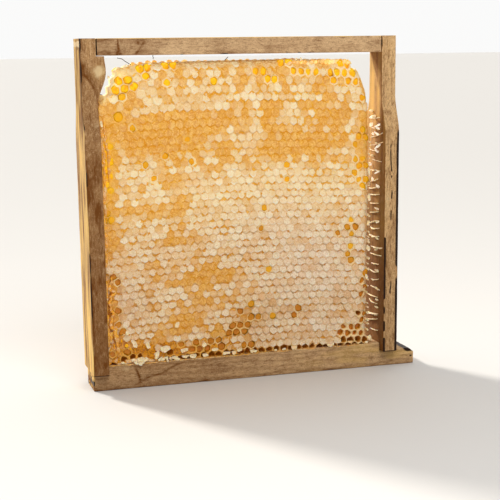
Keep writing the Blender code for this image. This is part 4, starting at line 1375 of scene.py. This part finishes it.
def ridges_on_comb(count=39, spacing=3.95):
    """Roots run along the comb's torn right edge, and crests reach up to 3.6 mm out towards the
    bar."""
    k = np.arange(count)[:, None]
    t = np.linspace(0, 1, 13)[None, :]
    odd = odd_numbers(k, 2.3, 1.1, 6)
    z = 22 + spacing * (k + 0.6 * (odd[0] - 0.5))
    back = 9 - 5 * odd[1]
    fore = -10.8 + 2.0 * odd[2] + 5 * (odd[5] > 0.8)
    y = back + (fore - back) * t
    x = 89.6 + 0.6 * smooth(40, 120, z) - 1.6 * smooth(168, 192, z)
    z = z + 0.16 * (odd[3] - 0.5) * (y + 6)
    root = stacked(x, y, z)
    height = (1.3 + 1.1 * odd[4] + 0.9 * value_noise(root, 2.0, 73)) * swelling(t, 0.03, 0.4)
    height = np.clip(height, 0.3, 3.6)
    rise = stacked(height, -0.25 * height, (0.5 - odd[2]) * height * 1.3)
    return root, rise, 0.45, {"wet": 0.1 + 0.4 * odd[5] * smooth(120, 160, z)}


def torn_wall():
    """The curled wall at the lower left: its root winds down the comb's face from z = 77 to 33 and
    over to the right along the bottom."""
    t = np.linspace(0, 1, 90)[None, :]
    z = 77 - 45 * t
    x = -94.9 + 1.1 * np.sin(t * 15 + 0.6) * (0.4 + 0.6 * t) + 3.2 * t**3
    x = x + 1.1 * value_noise(stacked(0, 0, z), 2.4, 63) + 3.4 * np.exp(-(((z - 66.5) / 1.5) ** 2))
    root = stacked(x, -11.2, z)
    high = (2.0 + 1.1 * value_noise(root, 2.2, 64)) * swelling(t, 0.015, 0.35)
    aside = -0.5 * high + 0.5 * value_noise(root, 2.0, 65)
    rise = stacked(aside, -high, 0.3 * value_noise(root, 1.8, 66))
    thick = 0.85 + 0.6 * value_noise(root, 1.6, 69)
    return root, rise, thick, {"wet": 0.95 + 0.5 * value_noise(root, 1.4, 67)}


def torn_ribbons():
    """Golden walls torn off along the left bar. Each strand has a foot, a head and a place across:
    z from head to foot, x = x_i + noise in z."""
    strands = [
        (150, 176, -96.6), (118, 150, -96.4), (84, 118, -96.8), (140, 166, -93.4), (166, 181, -94.6),
        (30, 60, -97.3), (52, 78, -97.4), (26, 44, -91.8), (33, 40, -95.0),
    ]
    foot, head, start = np.array(strands, float).T[..., None]
    t = np.linspace(0, 1, 60)[None, :]
    z = head + (foot - head) * t
    spots = stacked(start, 0, z)
    x = start + 0.9 * value_noise(spots, 4.5, 81) + 0.5 * value_noise(spots, 1.8, 82)
    root = stacked(x, -11.9, z)
    high = (1.0 + 0.7 * value_noise(root, 2.6, 83)) * swelling(t, 0.015, 0.35)
    rise = stacked(0.5 * value_noise(root, 2.0, 84), -high, 0.3 * value_noise(root, 1.8, 85))
    thick = 1.1 + 0.5 * value_noise(root, 3.0, 86)
    return root, rise, thick, {"wet": 1.0 + 0.5 * value_noise(root, 2.4, 87)}


def wax_seam():
    """Bead of wax where the comb's face meets the lugged bar, thicker and thinner by noise."""
    x = np.linspace(-97.6, 90.0, 420)[None, :]
    root = stacked(x, -12.0 + 0.15 * np.sin(x), 17.0)
    lump = value_noise(root, 3.0, 92) + 0.6 * value_noise(root, 1.2, 93)
    size = np.clip(0.62 + 0.4 * lump - 0.3 * smooth(-20, 10, x), 0.1, 1.3)
    rise = stacked(0, -0.55 * size, -0.75 * size)
    return root, rise, 0.7 * size, {"wet": 0.75 + 0.6 * value_noise(root, 5.0, 94)}


def torn_skirt():
    """Short torn flaps of cap wax that hang over the lugged bar's front edge."""
    at = [-84, -77, -71.5, -60, -52, -44.5, -31, -15.5, -10, 3, 34, 61, 76]
    at = np.array(at, float)[:, None]
    odd = odd_numbers(at, 0.7, 1.3, 4)
    t = np.linspace(-1, 1, 13)[None, :]
    root = stacked(at + 1.6 * (1 + odd[0]) * t, -11.6, 19.6 + 0.5 * odd[1])
    drop = 1.3 * (1 + odd[2]) * (1 - t**4) + 0.5 * value_noise(root, 1.3, 68)
    rise = stacked(0.3 * (odd[3] - 0.5) * drop, -0.42 * drop, -drop)
    return root, rise, 0.35 * (1 - 0.5 * t**2), {"wet": 0.15 + 0.5 * odd[1]}


def top_ridge(count=17, spacing=2.6):
    """A torn wall along the comb's upper edge at the right, in short slanting strands like a rope."""
    k = np.arange(count)[:, None]
    t = np.linspace(0, 1, 9)[None, :]
    odd = odd_numbers(k, 1.9, 0.7, 4)
    x = 31 + spacing * k + (3.2 + odd[0]) * t
    z = 214.8 - 0.8 * smooth(50, 46, x) - 1.2 * smooth(70, 78, x) + 1.5 * (t - 0.5) + 0.8 * (odd[1] - 0.5)
    root = stacked(x, -9.6 + 1.6 * t + odd[2], z)
    high = (1.2 + 0.9 * odd[3]) * swelling(t, 0.05, 0.6)
    # lit: a painted glow on these strands
    paint = {"wet": 0.3 + 0.5 * odd[1], "lit": 0.2 + 0.4 * odd[0]}
    return root, stacked(0.2 * high, -0.9 * high, 0.8 * high), 1.5, paint


def top_scallops(count=22, spacing=4.9):
    """Ends of the uppermost cells' walls, each an arch of one cell's width on the comb's upper edge."""
    k = np.arange(count)[:, None]
    t = np.linspace(0, 1, 9)[None, :]
    odd = odd_numbers(k, 1.3, 1.1, 4)
    x = -74 + spacing * k + (4.2 + 0.9 * odd[0]) * t
    z = 214.2 + 0.9 * smooth(-76, -58, x) + 0.5 * (odd[1] - 0.5)
    root = stacked(x, 2.0 + 3.0 * odd[2], z)
    high = (1.7 + 1.1 * odd[3]) * swelling(t, 0.03, 0.6)
    # lit: a painted glow on these arches
    paint = {"wet": 0.2 + 0.6 * odd[2], "lit": 0.5 + 0.4 * odd[3]}
    return root, stacked(0, -0.3 * high, high), 1.6, paint


def repeated(faces, times, size):
    """The faces of one piece (-1 ends a triangle) for each of its copies, size points apart."""
    shift = np.arange(times)[:, None, None] * size
    return np.where(faces[None] < 0, -1, faces[None] + shift).reshape(-1, 4)


def torn_flakes(name, finish, rows, sunlit):
    """Curled scraps of cap, each a thin closed lens with a ragged outline. Point (i, k) of a scrap
    is c + r_i R_k (a cos k + b sin k) + (bow r_i^2 +- thickness) n."""
    at, (wide, high, turn, lift) = np.array(rows, float)[:, :3], np.array(rows, float)[:, 3:].T[..., None]
    count, around = len(at), 20
    angle = np.arange(around) * 2 * math.pi / around
    rings = np.array([1.0, 0.8, 0.45])[:, None]
    key = stacked(np.cos(angle) * 1.7 + at[:, :1], np.sin(angle) * 1.7 + at[:, 2:], at[:, 2:])
    ragged = 1.0 + 0.34 * value_noise(key, 0.9, 88) + 0.2 * value_noise(key, 0.4, 89)
    c, s = np.cos(turn), np.sin(turn)
    u, v = wide * np.cos(angle) * ragged, high * np.sin(angle) * ragged
    spots = at[:, None, None] + rings[..., None] * stacked(u * c - v * s, 0, u * s + v * c)[:, None]
    bow = 0.45 * value_noise(spots, 1.6, 90) - lift[..., None] * rings**2
    half = np.array([0.06, 0.2, 0.26])[:, None]
    skins = [spots + stacked(0, bow + side * half, 0) for side in (-1, 1)]
    hubs = [at - (0, 0.28, 0), at + (0, 0.28, 0)]
    points = np.concatenate([np.concatenate(skins, 1).reshape(count, -1, 3), np.stack(hubs, 1)], 1)
    hub = 6 * around
    index = np.arange(hub).reshape(6, around)
    turned = np.roll(index, -1, axis=1)
    order = [(2, 1), (1, 0), (0, 3), (3, 4), (4, 5)]
    faces = [np.stack([index[a], turned[a], turned[b], index[b]], 1) for a, b in order]
    faces += [stacked(hub, turned[2], index[2], -1), stacked(index[5], turned[5], hub + 1, -1)]
    faces = repeated(np.concatenate(faces), count, hub + 2)
    points = points.reshape(-1, 3)
    # Painted sunlight on the scraps that stand higher than 90 mm, fading below
    sunlit = sunlit * smooth(90, 150, points[:, 2])
    paint = {"wet": 0.12 + 0.25 * value_noise(points, 1.5, 91), "sunlit": sunlit}
    return facing_out(mesh_object(name, points, faces, finish, paint))


# Scraps of torn cap: x, y, z, half width, half height, turn, and how far the rim curls outwards
SCRAPS = [
    (-77.4, -13.2, 18.6, 3.4, 2.2, -0.4, 1.6), (-73.2, -13.5, 19.8, 2.2, 1.4, 0.7, 1.2),
    (-76.4, -13.6, 20.6, 2.4, 1.2, 0.2, 1.4), (-59.2, -13.1, 25.8, 3.6, 2.6, 0.3, 1.2),
    (-64.8, -13.1, 22.4, 1.6, 3.0, -0.4, 1.0), (-57.8, -12.9, 18.9, 0.9, 2.0, 0.2, 0.6),
    (-51.4, -13.0, 18.7, 3.4, 0.8, -0.25, 0.6), (-39.6, -13.0, 19.2, 2.5, 1.5, 0.1, 1.0),
    (-45.8, -13.0, 23.9, 2.6, 1.5, 0.3, 0.8), (-70.9, -13.0, 29.0, 1.5, 2.4, 0.5, 0.8),
    (-80.2, -13.0, 31.6, 1.4, 3.0, 0.35, 0.9), (-62.5, -13.0, 19.4, 2.2, 0.8, 0.7, 0.7),
    (-31.5, -12.9, 26.5, 1.7, 1.4, 0.2, 0.8), (-24.0, -12.9, 22.6, 2.2, 1.2, -0.2, 0.8),
    (-17.0, -12.8, 19.2, 1.5, 0.9, 0.4, 0.6), (-50.3, -12.9, 42.0, 1.2, 2.6, -0.5, 1.0),
    (-6.5, -12.9, 21.0, 1.8, 1.3, 0.2, 0.8), (-84.6, -13.0, 39.0, 1.2, 1.6, 0.2, 0.5),
    (4.5, -12.8, 18.9, 1.6, 0.8, 0.1, 0.6), (-88.0, -12.6, 18.6, 1.2, 0.8, 0.0, 0.5),
    (26.0, -12.7, 18.6, 1.3, 0.7, 0.2, 0.5), (88.6, -12.2, 86.0, 1.2, 2.2, 0.2, 1.0),
    (89.0, -12.0, 122.0, 1.0, 2.6, 0.1, 1.0), (88.8, -12.0, 104.0, 1.0, 1.9, -0.2, 0.9),
    (87.5, -12.0, 66.0, 1.1, 2.0, 0.3, 0.9), (89.4, -10.8, 140.0, 0.9, 2.4, 0.0, 1.0),
    (-97.2, -12.9, 178.0, 0.8, 2.6, 0.15, 0.9), (74.6, -8.2, 215.2, 1.1, 1.5, 0.3, 0.3),
    (70.8, -8.4, 215.4, 1.6, 0.8, 0.1, 0.3), (37.2, -9.2, 217.0, 1.1, 0.8, 0.3, 0.3),
    (40.4, -9.4, 216.8, 0.8, 1.2, -0.3, 0.3), (-63.4, -8.6, 215.6, 1.0, 0.8, 0.2, 0.3),
    (-78.6, -8.2, 214.4, 0.9, 0.9, 0.2, 0.3), (-90.6, -8.0, 207.4, 0.8, 1.0, 0.2, 0.3),
]

# Scraps that stand out from the right bar's inner face, where cell walls tore off with it
FLAGS = [
    (96.6, 0.4, 176.6, 2.6, 0.9, 0.1, 0.6), (96.2, 1.7, 171.2, 1.2, 1.8, -0.3, 0.6),
    (96.6, -8.5, 171.2, 2.5, 0.8, 0.3, 0.8), (96.5, -6.5, 165.6, 2.4, 0.8, -0.7, 0.8),
    (96.6, -9.4, 169.0, 1.8, 0.6, -0.5, 0.5), (96.8, -9.4, 157.0, 2.2, 0.9, 0.4, 0.8),
    (96.7, -6.4, 153.6, 2.2, 0.7, -0.9, 0.8), (96.6, 4.7, 143.4, 1.4, 1.4, 0.2, 0.6),
    (96.8, -8.1, 138.8, 2.2, 0.6, 0.3, 0.5), (96.9, 0.5, 165.0, 0.9, 1.2, 0.4, 0.6),
    (96.9, -8.5, 129.0, 1.9, 0.9, -0.8, 0.7), (96.7, 0.0, 133.0, 1.0, 1.6, 0.3, 0.5),
    (97.0, -8.0, 113.0, 1.9, 0.7, -0.4, 0.6),
    (97.0, -9.0, 104.0, 1.7, 0.9, 0.2, 0.6), (97.0, -8.0, 92.0, 1.8, 0.7, -0.6, 0.6),
    (97.0, -7.0, 84.0, 1.5, 0.8, 0.1, 0.5), (97.0, -8.5, 69.0, 1.9, 0.8, -0.5, 0.6),
    (97.0, -8.5, 56.0, 2.0, 0.7, -0.8, 0.6), (97.0, -8.5, 48.0, 1.6, 0.6, -0.5, 0.5),
    (97.0, -8.5, 42.5, 1.7, 0.6, -0.5, 0.5), (97.0, -7.5, 36.8, 1.4, 0.6, -0.2, 0.5),
]

cream = torn_wax()
remains = [
    fins("wall_ends_on_bar", cream, *ridges_on_bar()),
    fins("wall_ends_on_comb", cream, *ridges_on_comb()),
    fins("torn_wall", cream, *torn_wall()),
    fins("torn_ribbons", cream, *torn_ribbons()),
    torn_flakes("torn_flakes", cream, SCRAPS, 0.0),
    torn_flakes("flags_on_bar", cream, FLAGS, 1.0),
    fins("wax_seam", cream, *wax_seam()),
    fins("torn_skirt", cream, *torn_skirt()),
    fins("top_ridge", cream, *top_ridge()),
    fins("top_scallops", cream, *top_scallops()),
]
for piece in remains:
    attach(piece, "root")

# ---------------------------------------------------------------------------------------------
# Wire. Steel wires once crossed the frame to hold the sheet of foundation wax, with the comb built
# over them. What is left of them are four short bent ends in the gap above the comb.
# ---------------------------------------------------------------------------------------------


def wire_stubs():
    """Each end runs evenly through four points (x, z), and rises 0.5 mm like a wall, to be flat."""
    bends = np.array([
        [(-82.9, 219.4), (-79.6, 218.7), (-77.0, 216.8), (-73.8, 214.8)],
        [(-58.9, 221.2), (-59.1, 220.2), (-58.8, 219.2), (-59.0, 218.3)],
        [(-18.2, 215.9), (-15.0, 214.8), (-11.6, 215.6), (-7.8, 219.0)],
        [(-102.7, 197.2), (-99.6, 196.8), (-96.6, 196.3), (-93.6, 196.0)],
    ])
    t = np.linspace(0, 3, 22)
    part = np.clip(t[:, None] - np.arange(3), 0, 1)
    path = bends[:, :1] + (part[None, :, :, None] * np.diff(bends, axis=1)[:, None]).sum(2)
    root = stacked(path[..., 0], 0, path[..., 1])
    return root, np.broadcast_to((0, -0.5, 0.12), root.shape), 0.22, {}


wire = Finish("dull wire")
dull = wire.noise(wire.place(), 300.0, 2.0, 0.5)
wire.shader(Base_Color=rgb(70, 62, 52), Roughness=0.5, Metallic=dull * 0.2 + 0.3)
stubs = fins("wire_stubs", wire, *wire_stubs())
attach(stubs, "root")

# ---------------------------------------------------------------------------------------------
# Crumbs and drops. Bits of wax have fallen where the comb meets the lugged bar and cling to the right
# bar, and beside the torn wall at the lower left a little honey has run out in drops.
# ---------------------------------------------------------------------------------------------


def lumps(name, finish, rows, paint, seed):
    """Closed lumps, each given by its centre c and its size in x, y and z:
    c + size * (1 + 0.28 noise) * (cos u sin v, sin u sin v, cos v), in 7 rings of 12 points."""
    around, rings = 12, 7
    u = np.arange(around) * 2 * math.pi / around
    v = np.linspace(0, math.pi, rings + 2)[1:-1, None]
    ball = stacked(np.cos(u) * np.sin(v), np.sin(u) * np.sin(v), np.cos(v)).reshape(-1, 3)
    ball = np.concatenate([ball, [[0, 0, 1], [0, 0, -1]]])
    places, sizes = np.split(np.array(rows, float)[:, None], 2, axis=-1)
    rough = value_noise(places + 2.2 * ball, 1.3, seed)[..., None]
    points = places + sizes * ball * (1 + 0.28 * rough)
    top = around * rings
    index = np.arange(top).reshape(rings, around)
    turn = np.roll(index, -1, axis=1)
    faces = np.concatenate([
        stacked(index[:-1], index[1:], turn[1:], turn[:-1]).reshape(-1, 4),
        stacked(top, index[0], turn[0], -1),
        stacked(top + 1, turn[-1], index[-1], -1),
    ])
    paint = {key: np.repeat(np.broadcast_to(value, len(rows)), len(ball)) for key, value in paint.items()}
    faces = repeated(faces, len(rows), len(ball))
    return facing_out(mesh_object(name, points.reshape(-1, 3), faces, finish, paint))


# Crumbs of wax and drops of honey: x, y, z and the size along each
CRUMBS = [
    (91.5, -9.5, 20.6, 1.5, 1.3, 1.9), (93.4, -7.5, 18.6, 1.0, 0.9, 0.9), (88.0, -12.0, 18.2, 1.3, 0.8, 0.9),
    (97.2, 4.0, 180.5, 1.3, 2.2, 0.9), (97.0, -2.0, 177.0, 1.2, 1.5, 1.1),
    (97.4, -8.0, 168.5, 0.9, 1.4, 0.8), (96.9, 1.0, 149.5, 1.4, 1.5, 0.9),
    (97.4, -5.0, 158.5, 0.9, 1.0, 0.8),
    (-30.0, -11.9, 18.4, 1.6, 0.8, 0.9), (-62.0, -12.0, 18.2, 1.9, 0.8, 0.8),
    (-55.0, -12.0, 18.5, 1.2, 0.8, 0.9), (20.0, -12.1, 18.1, 1.0, 0.6, 0.7),
    (-80.5, -12.2, 19.4, 1.8, 0.8, 1.2),
]
DROPS = [
    (-85.2, -12.6, 30.0, 1.3, 0.8, 1.3), (-82.6, -12.1, 27.5, 0.9, 0.6, 0.8),
    (-88.4, -12.0, 33.5, 0.6, 0.5, 1.2), (-93.5, -11.6, 30.0, 0.6, 0.6, 1.6),
]

crumbs = lumps("wax_crumbs", cream, CRUMBS, {"wet": 0.1}, 71)
# The first two drops carry a painted glow
drops = lumps("honey_drops", pool_finish, DROPS, {"tint": [0.6, 0.5, 0.4, 0.3], "glow": [0.5, 0.2, 0, 0]}, 72)
for piece in (crumbs, drops):
    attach(piece, "root")

# ---------------------------------------------------------------------------------------------
# Studio: a pale floor, low sunlight from behind on the left that rims the wood and wax, a soft lamp
# above the front, and a sky that is bright behind and dim in front.
# ---------------------------------------------------------------------------------------------

FLOOR_REACH = 30000
floor_finish = Finish("pale floor")
floor_finish.shader(Base_Color=rgb(222, 220, 217), Roughness=0.85)
corners = [(-1, -1, 0), (1, -1, 0), (1, 1, 0), (-1, 1, 0)]
floor = mesh_object("floor", np.array(corners, float) * FLOOR_REACH, [(0, 1, 2, 3)], floor_finish)


def lamp(kind, name, place, aim, **values):
    """A lamp at place, turned to face aim."""
    light = bpy.data.lights.new(name, kind)
    for key, value in values.items():
        setattr(light, key, value)
    holder = bpy.data.objects.new(name, light)
    way = Vector(aim) - Vector(place)
    holder.matrix_world = Matrix.Translation(place) @ way.to_track_quat("-Z", "Y").to_matrix().to_4x4()
    holder.visible_camera = False
    bpy.context.scene.collection.objects.link(holder)


warm, cool = (1.0, 0.95, 0.87), (1.0, 0.98, 0.95)
lamp("SUN", "low sun", (-0.5, 0.866, 0.62), (0, 0, 0), energy=3.2, angle=math.radians(9), color=warm)
lamp("AREA", "front lamp", (0.02, -0.72, 0.85), (0, 0, 0.16), energy=4.6, size=0.45, color=cool)

world = bpy.data.worlds.new("studio")
sky = Finish("studio sky", world)
way = sky.node("ShaderNodeTexCoord", out="Generated")
behind = sky.node("ShaderNodeSeparateXYZ", {}, {0: way}, out="Y").between(-0.3, 0.5)
sky.shader(Color=sky.mix(behind, (0.33, 0.33, 0.33, 1.0), (0.96, 0.96, 0.955, 1.0)), Strength=1.0)
bpy.context.scene.world = world
bpy.context.scene.view_settings.view_transform = "Standard"

camera = bpy.data.objects.new("camera", bpy.data.cameras.new("camera"))
camera.data.lens = 88.85
camera.data.sensor_width = 36.0
camera.data.shift_y = 0.1
camera.data.clip_end = 100.0
pitch, yaw, roll = math.radians(11.60), math.radians(16.87), math.radians(-0.70)
camera.matrix_world = (
    Matrix.Translation((-0.2393, -0.8072, 0.2256))
    @ Matrix.Rotation(-yaw, 4, "Z")
    @ Matrix.Rotation(math.pi / 2 - pitch, 4, "X")
    @ Matrix.Rotation(roll, 4, "Z")
)
bpy.context.scene.collection.objects.link(camera)
bpy.context.scene.camera = camera
